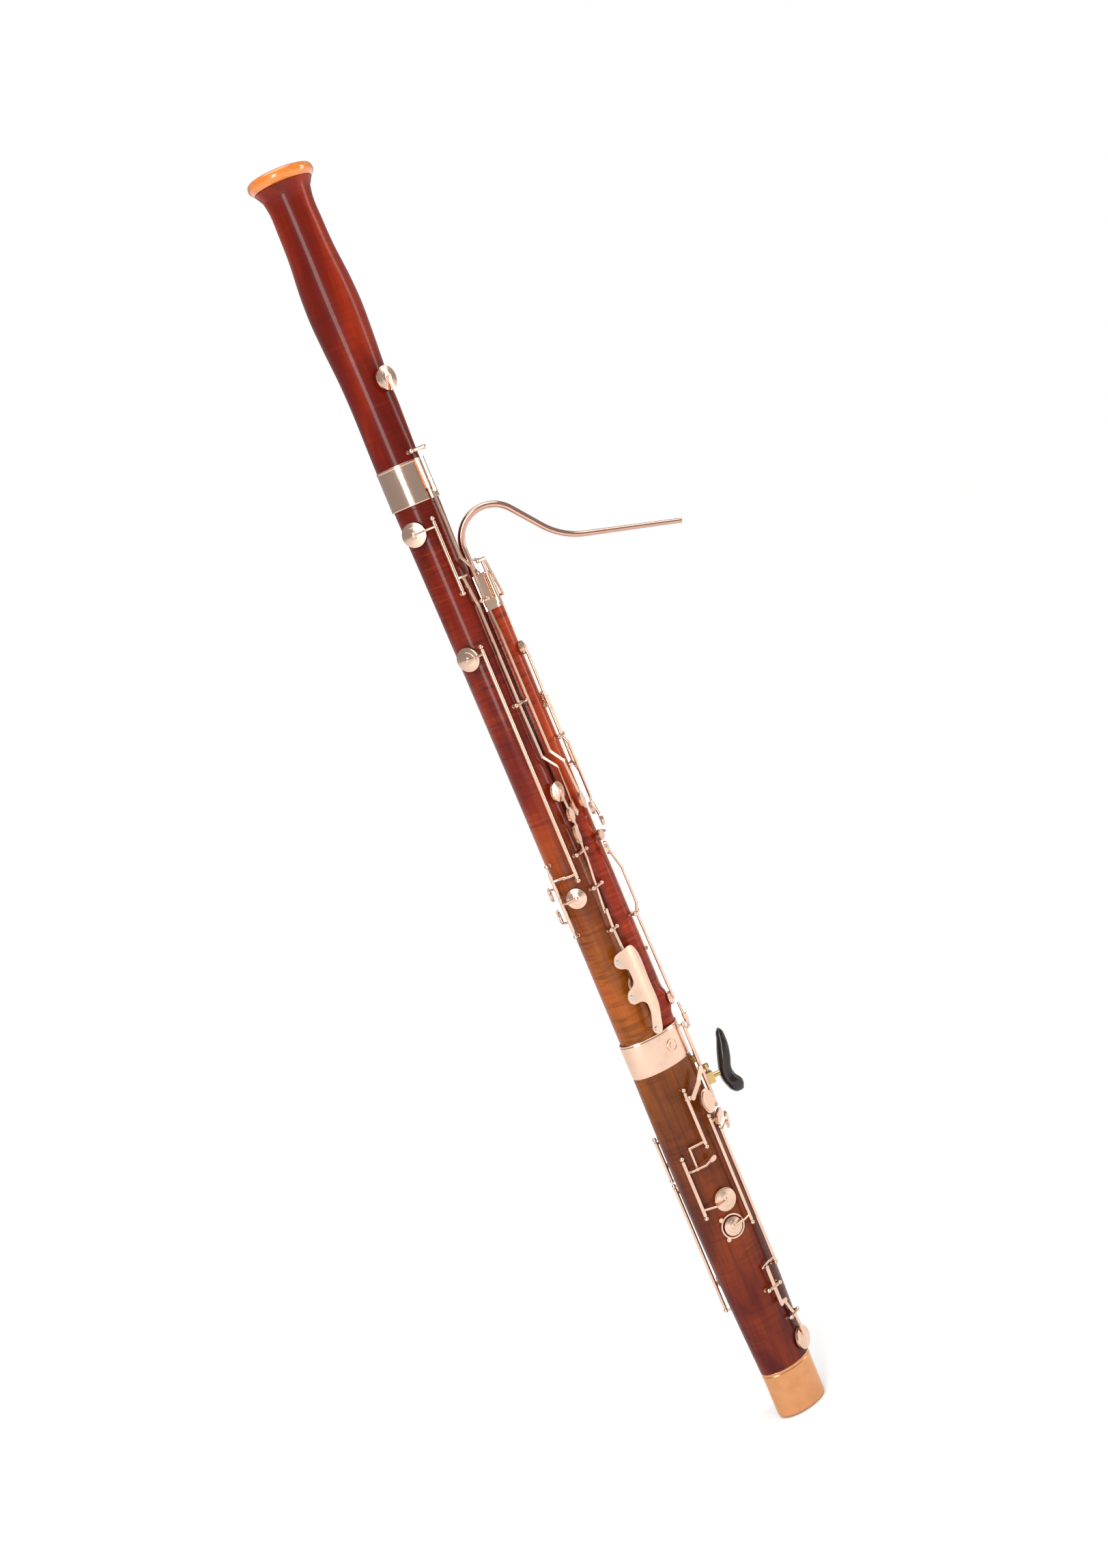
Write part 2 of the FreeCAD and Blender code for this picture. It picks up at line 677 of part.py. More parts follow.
def make_bell_key():
    """Low B flat: the pad on the bell and the lever that reaches down over the sleeve."""
    angle = 18
    pivot = bell_foot + 48
    lever_key("low_b_flat_key", bass_x, angle, pivot, (-9.0, 9.0), size.bellSleeveRadius + 6.2,
              (float(pivot) + 72, 0, size.bellWaistRadius + 0.1, size.cupRadius), None, 2.5, "bell",
              size.bellWaistRadius - 4, "low_b_flat_pad",
              bends_up=((float(pivot) + 50, 0, 31.0),),
              bends_down=((float(pivot) - 30, 0, 32.0), (float(pivot) - 41, 0, 32.4)))


def make_b_flat_lever():
    angle = 25
    pivot = boot_top + 465
    low = float(boot_top)
    lever_key("b_flat_lever", bass_x, angle, pivot, (1.6, 11.2), 27.6, None,
              (low + 247, 20.4, 33.6, 19.0, 8.0), 0.0, "bass", 18.0,
              bends_up=((low + 500, 6.4, 27.8), (low + 512, -3.4, 28.0), (low + 583, -3.4, 28.0)),
              bends_down=((low + 430, 6.4, 29.8), (low + 304, 6.4, 30.6), (low + 290, 17.6, 32.6)))


def make_b_lever():
    angle = 25
    pivot = boot_top + 359
    low = float(boot_top)
    start = shifted(bass_x, angle, -9.1, 25.4, pivot)
    end = shifted(bass_x, angle, 10.2, 25.4, pivot)
    rod_between("bass", start, end, bass_x, 18.0)
    joint_notes["b_lever"] = (shifted(bass_x, angle, 0, 25.4, pivot), tangent(angle))
    face = normal(angle)
    spot = shifted(bass_x, angle, 11.8, 27.2, low + 243)
    pieces = [hinge(start, shifted(bass_x, angle, 0.4, 25.4, pivot))]
    pieces += strap([shifted(bass_x, angle, -3.2, 25.4, pivot), shifted(bass_x, angle, -3.2, 25.4, low + 462),
                     shifted(bass_x, angle, -6.0, 24.0, low + 492)], 3.4, thick, face)
    pieces += strap([shifted(bass_x, angle, -3.2, 25.4, pivot), shifted(bass_x, angle, -2.6, 26.0, low + 302),
                     shifted(bass_x, angle, 12.6, 27.6, low + 286), spot], 3.0, thick, face)
    pieces.append(egg(spot, Vector(0, 0, 1), face, 18.0, 7.6, 3.0))
    solid("b_lever", joined(pieces, start, end))


def side_key(name, joint, x, rod_angle, rod_radius, low, high, inside, cups, arms, touches, opening,
             pad_node=None, tube=None):
    """A key on a rod along the instrument. cups are (height, angle, surface, radius), arms are lists of
    (height, angle, radius) that start at the hinge, touches are (height, angle, radius, length, width)."""
    start = polar(x, rod_angle, rod_radius, low)
    end = polar(x, rod_angle, rod_radius, high)
    if posts is not None and joint:
        rod_between(joint, start, end, x, inside)
    joint_notes[name] = (start, Vector(0, 0, 1))
    if tube:
        trim = float(size.ballRadius + size.endGap)
        tube_low = Vector(start.x, start.y, float(tube[0]) - trim)
        tube_high = Vector(start.x, start.y, float(tube[1]) + trim)
        pieces = [hinge(tube_low, tube_high)]
    else:
        pieces = [hinge(start, end)]
    pads = []
    for height, angle, surface, radius in cups:
        face = normal(angle)
        centre = polar(x, angle, float(surface) + float(size.padGap), height)
        pieces.append(pad_cup(centre, face, radius))
        top = centre + face * (float(size.padHeight) + 2.4)
        pads.append(pad(centre, face, radius))
        near = Vector(start.x, start.y, float(height))
        over = polar(x, (rod_angle + angle) / 2, float(surface) + 10.6, height)
        pieces += [rod(near, over, 1.25), ball(over, 1.25), rod(over, top, 1.25), ball(top, 1.7)]
    for line in arms:
        points = [polar(x, angle, radius, height) for height, angle, radius in line]
        points.insert(0, Vector(start.x, start.y, points[0].z))
        for one, two in zip(points, points[1:]):
            pieces.append(rod(one, two, 1.3))
            pieces.append(ball(two, 1.3))
    for height, angle, radius, length, width in touches:
        spot = polar(x, angle, radius, height)
        pieces.append(egg(spot, Vector(0, 0, 1), normal(angle), length, width, 2.8))
    key = joined(pieces, start, end)
    solid(name, turned_about(key, start, end, opening))
    if pad_node:
        solid(pad_node, turned_about(pads[0], start, end, opening))
    return pads


def make_bass_side_keys():
    low = float(boot_top)
    side_key("low_b_key", "bass", bass_x, -8, 28.2, low + 479, low + 556, 18.0,
             [(low + 548, -56, bass_skin(low + 548), size.cupRadius)],
             [[(low + 494, -2, 30.8), (low + 494, 14, 29.8)]], [], 12.5, "low_b_pad")
    side_key("c_sharp_key", "bass", bass_x, -17, 27.2, low + 177, low + 425, 18.0,
             [(low + 418, -54, bass_skin(low + 418), size.cupRadius)],
             [[(low + 184, -30, 28.2), (low + 184, -44, 27.0)]], [], 0.0, "c_sharp_pad")
    side_key("c_sharp_touch", "bass", bass_x, -72, 27.0, low + 124, low + 200, 18.0, [],
             [[(low + 184, -62, 24.4), (low + 184, -42, 23.4)], [(low + 176, -90, 28.6), (low + 170, -104, 27.2)]],
             [(low + 170, -104, 27.2, 15.0, 8.0)], 0.0, tube=(low + 168.0, low + 192.0))
    side_key("e_flat_key", None, bass_x, -72, 27.0, low + 124, low + 200, 18.0,
             [(low + 160, -36, bass_skin(low + 160), size.cupRadius * 0.85)],
             [[(low + 140, -90, 28.6), (low + 146, -104, 27.2)]],
             [(low + 146, -104, 27.2, 15.0, 8.0)], 0.0, "e_flat_pad", tube=(low + 130.0, low + 166.0))


def make_bass_thumb_keys():
    low = float(boot_top)
    skin = float(size.bassRadius)
    angle = 27
    face = normal(angle)
    pivot = low + 200
    start = shifted(bass_x, angle, -11.0, 23.4, pivot)
    end = shifted(bass_x, angle, 9.0, 23.4, pivot)
    rod_between("bass", start, end, bass_x, 17.0)
    joint_notes["low_c_key"] = (start, tangent(angle))
    cup = float(size.cupRadius) * 0.86
    centre = shifted(bass_x, angle, -2.4, skin + float(size.padGap), low + 265)
    top = centre + face * (float(size.padHeight) + 2.2)
    touch = shifted(bass_x, angle, -1.5, 27.4, low + 239)
    pieces = [hinge(start, end)]
    pieces.append(pad_cup(centre, face, cup))
    pieces += strap([shifted(bass_x, angle, 3.6, 23.4, pivot), shifted(bass_x, angle, 3.6, 25.2, low + 226),
                     touch, top], 3.0, thick, face)
    pieces.append(egg(touch, Vector(0, 0, 1), face, 16.0, 10.0, 3.2))
    opening = -3.2
    room = Part.makeCylinder(cup - 0.6, float(size.padHeight) + 0.05, centre, face)
    key = turned_about(joined(pieces, start, end).cut(room), start, end, -opening)
    solid("low_c_key", key)
    solid("low_c_pad", turned_about(pad(centre, face, cup), start, end, -opening))
    # low D: a thumb lever that lifts the upper end of the pad lever under the guard
    pivot = low + 163
    start = shifted(bass_x, angle, -9.0, 26.0, pivot)
    end = shifted(bass_x, angle, 7.0, 26.0, pivot)
    rod_between("bass", start, end, bass_x, 17.0)
    joint_notes["low_d_lever"] = (start, tangent(angle))
    spot = shifted(bass_x, angle, -3.4, 28.8, low + 218)
    pieces = [hinge(start, end)]
    pieces += strap([spot, shifted(bass_x, angle, -3.4, 28.8, low + 194),
                     shifted(bass_x, angle, -3.4, 26.0, pivot), shifted(bass_x, angle, -3.4, 23.6, low + 135)],
                    2.6, thick, face)
    pieces.append(egg(spot, Vector(0, 0, 1), face, 20.0, 7.6, 3.0))
    solid("low_d_lever", joined(pieces, start, end))
    pivot = low + 117
    start = shifted(bass_x, angle, -7.6, 25.4, pivot)
    end = shifted(bass_x, angle, 3.4, 25.4, pivot)
    rod_between("bass", start, end, bass_x, 17.0)
    joint_notes["low_d_key"] = (start, tangent(angle))
    centre = shifted(bass_x, angle, -4.0, skin + float(size.padGap), low + 56)
    top = centre + face * (float(size.padHeight) + 2.2)
    pieces = [hinge(start, end), pad_cup(centre, face, size.cupRadius * 0.9)]
    pieces += strap([top, shifted(bass_x, angle, -3.4, 25.4, low + 90),
                     shifted(bass_x, angle, -3.4, 25.4, pivot), shifted(bass_x, angle, -3.4, 27.2, low + 137)],
                    3.4, thick, face)
    tilt = 2.6
    solid("low_d_key", turned_about(joined(pieces, start, end), start, end, -tilt))
    solid("low_d_pad", turned_about(pad(centre, face, size.cupRadius * 0.9), start, end, -tilt))


def make_key_guard():
    """A bent plate over the low D pad, on three feet."""
    low = float(boot_top)
    inner = float(size.bassRadius) + 14.0
    outline = [(30, 94), (38, 86), (39, 55), (38, 28), (27, 14), (14, 3), (4, 5), (3, 14), (9, 24), (10, 36),
               (0, 41), (-13, 42), (-17, 49), (-12, 56), (-1, 60), (3, 68), (-1, 77), (-11, 80), (-16, 87),
               (-11, 94), (4, 96)]
    wall = Part.makeCylinder(inner + 1.0, 110, Vector(float(bass_x), 0, low)).cut(
        Part.makeCylinder(inner, 110, Vector(float(bass_x), 0, low)))
    middle = 12.0
    corners = [shifted(bass_x, middle, math.radians(angle - middle) * inner, 5, low + rise)
               for angle, rise in outline]
    rim = Part.BSplineCurve()
    rim.interpolate(corners, True)
    window = Part.Face(Part.Wire(rim.toShape())).extrude(normal(middle) * 60)
    plate = wall.common(window)
    feet = []
    screws = []
    for angle, rise in ((-10, 87), (-11, 49), (9, 9)):
        face = normal(angle)
        foot = polar(bass_x, angle, float(size.bassRadius) - 2, low + rise)
        top = polar(bass_x, angle, inner + 0.4, low + rise)
        feet.append(rod(foot, top, 1.8))
        head = polar(bass_x, angle, inner + 1.0, low + rise)
        screws.append(Part.makeCylinder(2.3, 1.1, head + face * 0.02, face))
    shape = plate.fuse(feet).cut(nodes["bass_joint"].Shape)
    shape = shape.cut(Part.makeCompound(screws))
    guards.append(shape)
    solid("key_guards", Part.makeCompound(guards))
    solid("guard_screws", Part.makeCompound([screw.cut(shape) for screw in screws]))


def make_wing_keys():
    low = float(boot_top)
    skin = float(size.wingRadius)
    lever_key("high_c_key", wing_x, 42, low + 312, (-6.5, 6.5), skin + 5.0,
              (low + 407, 0, skin, size.smallCupRadius), (low + 234, -4.0, skin + 7.4, 13.0, 7.5), 0.0, "wing",
              skin - 4, bends_up=((low + 395, 0, skin + 5.4),),
              bends_down=((low + 303, 0, skin + 9.0), (low + 245, 0, skin + 9.0)))
    lever_key("high_a_key", wing_x, 74, low + 281, (-6.0, 6.0), skin + 5.0,
              (low + 352, 0, skin, size.smallCupRadius), (low + 219, -12.5, skin + 7.0, 12.0, 7.5), 0.0, "wing",
              skin - 4, bends_up=((low + 340, 0, skin + 5.4),),
              bends_down=((low + 272, 0, skin + 7.4), (low + 236, 0, skin + 7.4)))
    lever_key("wing_c_sharp_key", wing_x, 48, low + 118, (-6.5, 6.5), skin + 6.2,
              (low + 23, 0, skin + 2.6, size.smallCupRadius), (low + 192, -9.0, skin + 6.0, 14.0, 9.0), 0.0,
              "wing", skin - 4, bends_up=((low + 40, 0, skin + 7.4),),
              bends_down=((low + 127, 0, skin + 10.0), (low + 166, 0, skin + 10.0), (low + 184, -5, skin + 7.0)))
    side_key("whisper_key", "wing", wing_x, 108, skin + 5.0, low + 18, low + 476, skin - 4, [],
             [[(low + 206, 88, skin + 6.6), (low + 206, 60, skin + 7.4), (low + 206, 28, skin + 7.0)],
              [(low + 462, 90, skin + 6.6), (low + 500, 90, skin + 2.0), (low + 504, 90, 6.2)],
              [(low + 22, 92, skin + 7.4), (low + 22, 74, skin + 7.6)]],
             [(low + 206, 26, skin + 6.6, 11.0, 10.0)], 0.0)


def make_boot_keys():
    """Thumb keys and their linkages on the boot's player side."""
    face = Vector(0, -1, 0)
    low = float(size.capHeight)
    up = Vector(0, 0, 1)
    stand = float(size.rodStand)

    def span(x, foot, top):
        start = boot_point(x, stand) + up * foot
        end = boot_point(x, stand) + up * top
        run = Vector(0, 0, 1)
        for head in (start, end):
            inner = boot_point(x, -5.0) + up * head.z
            post("boot", inner, head, run)
        rods.append(rod(start - run * 2.2, end + run * 2.2, size.rodRadius))
        return start, end

    # thumb B flat: touch and Z arm
    start, end = span(-1.9, low + 253, low + 316)
    joint_notes["thumb_b_flat_key"] = (start, up)
    touch_near = boot_point(3.0, stand + 3.2) + up * (low + 314 - 8)
    touch_far = boot_point(22.5, stand + 3.0) + up * (low + 325)
    middle = (touch_near + touch_far) * 0.5 + boot_point(15, 1.6) - boot_point(15, 0)
    pieces = [hinge(start, end)]
    pieces += strap([Vector(start.x, start.y, touch_near.z), touch_near], 4.4, thick, face)
    pieces += strap([touch_near, middle, touch_far], 6.4, thick, boot_point(15, 1) - boot_point(15, 0))
    z_arm = [Vector(start.x, start.y, low + 259), boot_point(-9, stand - 0.5) + up * (low + 259),
             boot_point(-17.5, stand - 1.0) + up * (low + 259), boot_point(-17.5, stand - 1.4) + up * (low + 235)]
    for one, two in zip(z_arm, z_arm[1:]):
        pieces += [rod(one, two, 1.3), ball(two, 1.3)]
    solid("thumb_b_flat_key", joined(pieces, start, end))

    # the B flat pad key that the Z arm lifts
    start, end = span(-26.0, low + 185, low + 252)
    joint_notes["b_flat_pad_key"] = (start, up)
    cup_out = boot_point(-4.0, 1) - boot_point(-4.0, 0)
    centre = boot_point(-4.0, float(size.padGap) + 0.1) + up * (low + 194)
    top = centre + cup_out * (float(size.padHeight) + 2.4)
    arm = [Vector(start.x, start.y, low + 237), boot_point(-22, stand + 2.6) + up * (low + 237),
           boot_point(-10, stand + 2.6) + up * (low + 237), boot_point(-2.0, stand + 2.6) + up * (low + 240)]
    pieces = [hinge(start, end), pad_cup(centre, cup_out, size.cupRadius)]
    for one, two in zip(arm, arm[1:]):
        pieces += [rod(one, two, 1.2), ball(two, 1.2)]
    pieces.append(egg(arm[-1], Vector(1, 0, 0.12).normalize(), face, 9.0, 6.0, 3.0))
    over = boot_point(-16, stand + 4.0) + up * (low + 194)
    near = Vector(start.x, start.y, low + 194)
    pieces += [rod(near, over, 1.25), ball(over, 1.25), rod(over, top, 1.25), ball(top, 1.7)]
    solid("b_flat_pad_key", joined(pieces, start, end))
    solid("b_flat_pad", pad(centre, cup_out, size.cupRadius))

    # thumb F sharp: touch, long hinge, pad
    start, end = span(12.6, low + 158, low + 279)
    joint_notes["thumb_f_sharp_key"] = (start, up)
    spot = boot_point(21.5, stand + 3.4) + up * (low + 273)
    cup_out = boot_point(-7.0, 1) - boot_point(-7.0, 0)
    centre = boot_point(-7.0, float(size.padGap) + 0.1) + up * (low + 165)
    top = centre + cup_out * (float(size.padHeight) + 2.4)
    pieces = [hinge(start, end), pad_cup(centre, cup_out, size.cupRadius * 0.82)]
    neck = Vector(start.x, start.y, low + 272)
    pieces += [rod(neck, spot, 1.5), egg(spot, Vector(0.75, 0.25, 0.6).normalize(),
               boot_point(21.5, 1) - boot_point(21.5, 0), 19.0, 9.5, 3.0)]
    near = Vector(start.x, start.y, low + 167)
    over = boot_point(3.0, stand + 2.8) + up * (low + 167)
    pieces += [rod(near, over, 1.25), ball(over, 1.25), rod(over, top, 1.25), ball(top, 1.7)]
    solid("thumb_f_sharp_key", joined(pieces, start, end))
    solid("f_sharp_pad", pad(centre, cup_out, size.cupRadius * 0.82))

    # thumb A flat: touch and long hinge down to the foot linkage
    start, end = span(20.5, low + 106, low + 262)
    joint_notes["thumb_a_flat_key"] = (start, up)
    spot = boot_point(30.6, stand + 3.4) + up * (low + 262)
    neck = Vector(start.x, start.y, low + 256)
    pieces = [hinge(start, end), rod(neck, spot, 1.5)]
    pieces.append(egg(spot, Vector(0.5, 0.45, 0.7).normalize(),
                      boot_point(30.2, 1) - boot_point(30.2, 0), 19.0, 9.0, 3.0))
    arm = [Vector(start.x, start.y, low + 112), boot_point(14.0, stand - 1.6) + up * (low + 112),
           boot_point(5.0, stand - 3.0) + up * (low + 109)]
    for one, two in zip(arm, arm[1:]):
        pieces += [rod(one, two, 1.2), ball(two, 1.2)]
    solid("thumb_a_flat_key", joined(pieces, start, end))

    # foot lever and foot key, on cross pivots
    def cross_pivot(x, stand_off, height, half):
        out = boot_point(x, 1, height) - boot_point(x, 0, height)
        side = out.cross(up) * -1
        centre = boot_point(x, stand_off, height) + up * height
        start = centre - side * half
        end = centre + side * half
        for head in (start, end):
            post("boot", head - out * 10, head, side)
        rods.append(rod(start - side * 2.2, end + side * 2.2, size.rodRadius))
        return out, side, centre, start, end

    out, side, centre_low, start, end = cross_pivot(8.0, 5.6, low + 86, 8.4)
    joint_notes["foot_lever"] = (start, side)
    pieces = [hinge(start, end)]
    pieces += strap([centre_low + up * 22 + out * 1.0, centre_low + out * 0.4, centre_low - up * 20 + out * 0.4],
                    4.4, thick, out)
    pieces += strap([centre_low - up * 19 + out * 0.4, centre_low - up * 19 + out * 0.4 + side * 6],
                    5.0, thick, out)
    solid("foot_lever", joined(pieces, start, end))
    out, side, centre_low, start, end = cross_pivot(20.0, 4.4, low + 46, 8.0)
    joint_notes["foot_key"] = (start, side)
    centre = boot_point(21.0, float(size.padGap) + 0.2, low + 17) + up * (low + 17)
    top = centre + out * (float(size.padHeight) + 2.2)
    pieces = [hinge(start, end), pad_cup(centre, out, size.cupRadius)]
    pieces += strap([centre_low + up * 18 - side * 6 - out * 1.2, centre_low + up * 4 - side * 2 - out * 0.4,
                     centre_low, centre_low - up * 12 + out * 1.0, top], 4.0, thick, out)
    solid("foot_key", joined(pieces, start, end))
    solid("foot_pad", pad(centre, out, size.cupRadius))

    # pancake key: the oval thumb plate and the linkage that rises to the whisper key
    spot = Vector(32.2, -16.6, 0)
    start = spot + up * (low + 282)
    end = spot + up * (low + 372)
    run = Vector(0, 0, 1)
    for head, depth in ((start, 9.0), (end, 9.0)):
        away = Vector(-0.75, 0.66, 0)
        away.normalize()
        post("boot", head + away * depth, head, run)
    rods.append(rod(start - run * 2.2, end + run * 2.2, size.rodRadius))
    joint_notes["pancake_key"] = (start, up)
    out = boot_point(15.6, 1) - boot_point(15.6, 0)
    plate = boot_point(15.6, stand + 3.6) + up * (low + 294)
    pieces = [hinge(start, end)]
    pieces.append(egg(plate, Vector(0, 0, 1), out, 26.0, 18.0, 3.6))
    neck = Vector(spot.x, spot.y, low + 290)
    pieces += [rod(neck, plate + Vector(6.5, 2.2, -2), 1.6)]
    link = [spot + up * (low + 366), spot + Vector(7.2, 2.0, low + 368), spot + Vector(7.6, 6.4, low + 392)]
    for one, two in zip(link, link[1:]):
        pieces += [rod(one, two, 1.5), ball(two, 1.5)]
    pieces.append(Part.makeCylinder(2.6, 9.0, spot + Vector(7.3, 3.4, low + 372), up))
    solid("pancake_key", joined(pieces, start, end))


def make_finger_side_keys():
    low = float(size.capHeight)
    up = Vector(0, 0, 1)
    wide_x = -float(size.bellyHalfWide)
    spot = Vector(wide_x + 1.0, 12.0, 0)
    for name, foot, top, touch, cup_height, radius in (
            ("low_f_key", low + 76, low + 220, low + 205, low + 100, size.cupRadius),
            ("g_key", low + 226, low + 273, low + 262, low + 238, size.cupRadius * 0.8)):
        start = spot + up * foot
        end = spot + up * top
        away = Vector(0.72, -0.69, 0)
        away.normalize()
        for head in (start, end):
            post("boot", head + away * 10, head, up)
        rods.append(rod(start - up * 2.2, end + up * 2.2, size.rodRadius))
        joint_notes[name] = (start, up)
        out = Vector(-0.25, 1, 0)
        out.normalize()
        skin = float(size.bellyHalfDeep)
        centre = Vector(-10.0, skin - 0.2 + float(size.padGap), cup_height)
        pieces = [hinge(start, end), pad_cup(centre, Vector(0, 1, 0), radius)]
        over = Vector(-22.0, skin + 4.0, cup_height)
        near = Vector(spot.x, spot.y, cup_height)
        tip = centre + Vector(0, 1, 0) * (float(size.padHeight) + 2.4)
        pieces += [rod(near, over, 1.3), ball(over, 1.3), rod(over, tip, 1.3), ball(tip, 1.7)]
        near = Vector(spot.x, spot.y, touch)
        over = Vector(-24.0, skin + 4.4, touch)
        end_touch = Vector(-12.0, skin + 6.6, touch)
        pieces += [rod(near, over, 1.4), ball(over, 1.4), rod(over, end_touch, 1.4)]
        pieces.append(Part.makeCylinder(7.4, 1.6, end_touch - Vector(0, 0.8, 0), Vector(0, 1, 0)))
        pieces.append(Part.makeCone(7.4, 5.6, 0.9, end_touch + Vector(0, 0.8, 0), Vector(0, 1, 0)))
        solid(name, turned_about(joined(pieces, start, end), start, end, 8.0 if name == "low_f_key" else 6.0))


# ---------------------------------------------------------------- bocal, lock, hand rest, fittings

def make_bocal():
    """A tapered tube: straight up out of the wing, over a hump, down, and out level to its tip."""
    along = Vector(math.cos(math.radians(27)), -math.sin(math.radians(27)), 0)
    up = Vector(0, 0, 1)
    base = Vector(float(wing_x), 0, float(wing_end - size.bocalInsert))

    def spot(reach, height):
        return base + along * reach + up * height

    rise = float(size.bocalInsert + size.bocalRise)
    hump = float(size.humpRadius)
    turn = math.radians(float(size.humpTurn))
    bend = math.radians(float(size.tailTurn))
    tail = float(size.tailRadius)
    edges = [Part.LineSegment(spot(0, 0), spot(0, rise)).toShape()]

    def on_hump(angle):
        return spot(hump - hump * math.cos(angle), rise + hump * math.sin(angle))

    edges.append(Part.Arc(on_hump(0), on_hump(turn / 2), on_hump(turn)).toShape())
    heading = math.pi / 2 - turn
    reach = hump - hump * math.cos(turn)
    height = rise + hump * math.sin(turn)
    run = float(size.dropRun)
    reach_low = reach + run * math.cos(heading)
    height_low = height + run * math.sin(heading)
    edges.append(Part.LineSegment(spot(reach, height), spot(reach_low, height_low)).toShape())

    def on_tail(angle):
        return (reach_low + tail * (math.sin(heading + angle) - math.sin(heading)),
                height_low - tail * (math.cos(heading + angle) - math.cos(heading)))

    edges.append(Part.Arc(spot(*on_tail(0)), spot(*on_tail(bend / 2)), spot(*on_tail(bend))).toShape())
    out = along * math.cos(heading + bend) + up * math.sin(heading + bend)
    last = spot(*on_tail(bend))
    tip_start = last + out * float(size.tailRun)
    edges.append(Part.LineSegment(last, tip_start).toShape())
    path = Part.Wire(edges)
    sides = []
    for shrink in (0.0, float(size.bocalWall)):
        large = Part.Wire([Part.Circle(spot(0, 0), up, float(size.bocalRadius) - shrink).toShape()])
        small = Part.Wire([Part.Circle(tip_start, out, float(size.bocalTipRadius) - shrink).toShape()])
        pipe = Part.BRepOffsetAPI.MakePipeShell(path)
        pipe.add(large)
        pipe.add(small)
        pipe.build()
        pipe.makeSolid()
        tip = Part.makeCylinder(float(size.bocalTipRadius) - shrink, float(size.tipRun), tip_start, out)
        sides.append(pipe.shape().fuse(tip))
    tube = sides[0].cut(sides[1])
    solid("bocal_tube", tube)
    cork_height = float(size.bocalInsert) - 1
    cork = Part.makeCylinder(float(size.socketBoreRadius - size.swivelGap), cork_height, spot(0, 0))
    solid("bocal_cork", cork.cut(sides[0]))
    joint_notes["bocal_swivel"] = (base, up)
    joint_notes["bocal_tip"] = (tip_start + out * float(size.tipRun), out)


def make_body_lock():
    """A sliding pin that locks the wing joint to the bass joint."""
    up = Vector(0, 0, 1)
    foot = float(wing_top) + 10
    top = float(wing_end) - 3
    spot = polar(wing_x, 14, size.wingRadius + 3.6, foot)
    bore = Part.makeCylinder(1.5 + float(size.swivelGap), 60, spot - up * 10, up)
    barrel = Part.makeCylinder(2.7, top - foot, spot, up)
    plate_in = float(size.wingRadius) + 0.35
    shell = Part.makeCylinder(plate_in + 1.2, top - foot + 8, Vector(float(wing_x), 0, foot - 6)).cut(
        Part.makeCylinder(plate_in, top - foot + 8, Vector(float(wing_x), 0, foot - 6)))
    window = Part.makeBox(40, 17.0, 60, Vector(-20, -8.5, 0))
    window.Placement = Placement(polar(wing_x, 0, 3.0, foot - 8), Rotation(Vector(1, 0, 0), normal(0)))
    plate = shell.common(window)
    solid("lock_bracket", plate.fuse(barrel).cut(bore))
    pin = Part.makeCylinder(1.5, top - foot + 14, spot + up * 1.0, up)
    head = spot + up * (top - foot + 15.5)
    bar = rod(head - Vector(5.4, 1.4, 0), head + Vector(3.2, 0.8, 0), 1.9)
    ends = [ball(head - Vector(5.4, 1.4, 0), 1.9), ball(head + Vector(3.2, 0.8, 0), 1.9)]
    solid("lock_pin", pin.fuse([bar] + ends))
    joint_notes["lock_pin"] = (spot, up)


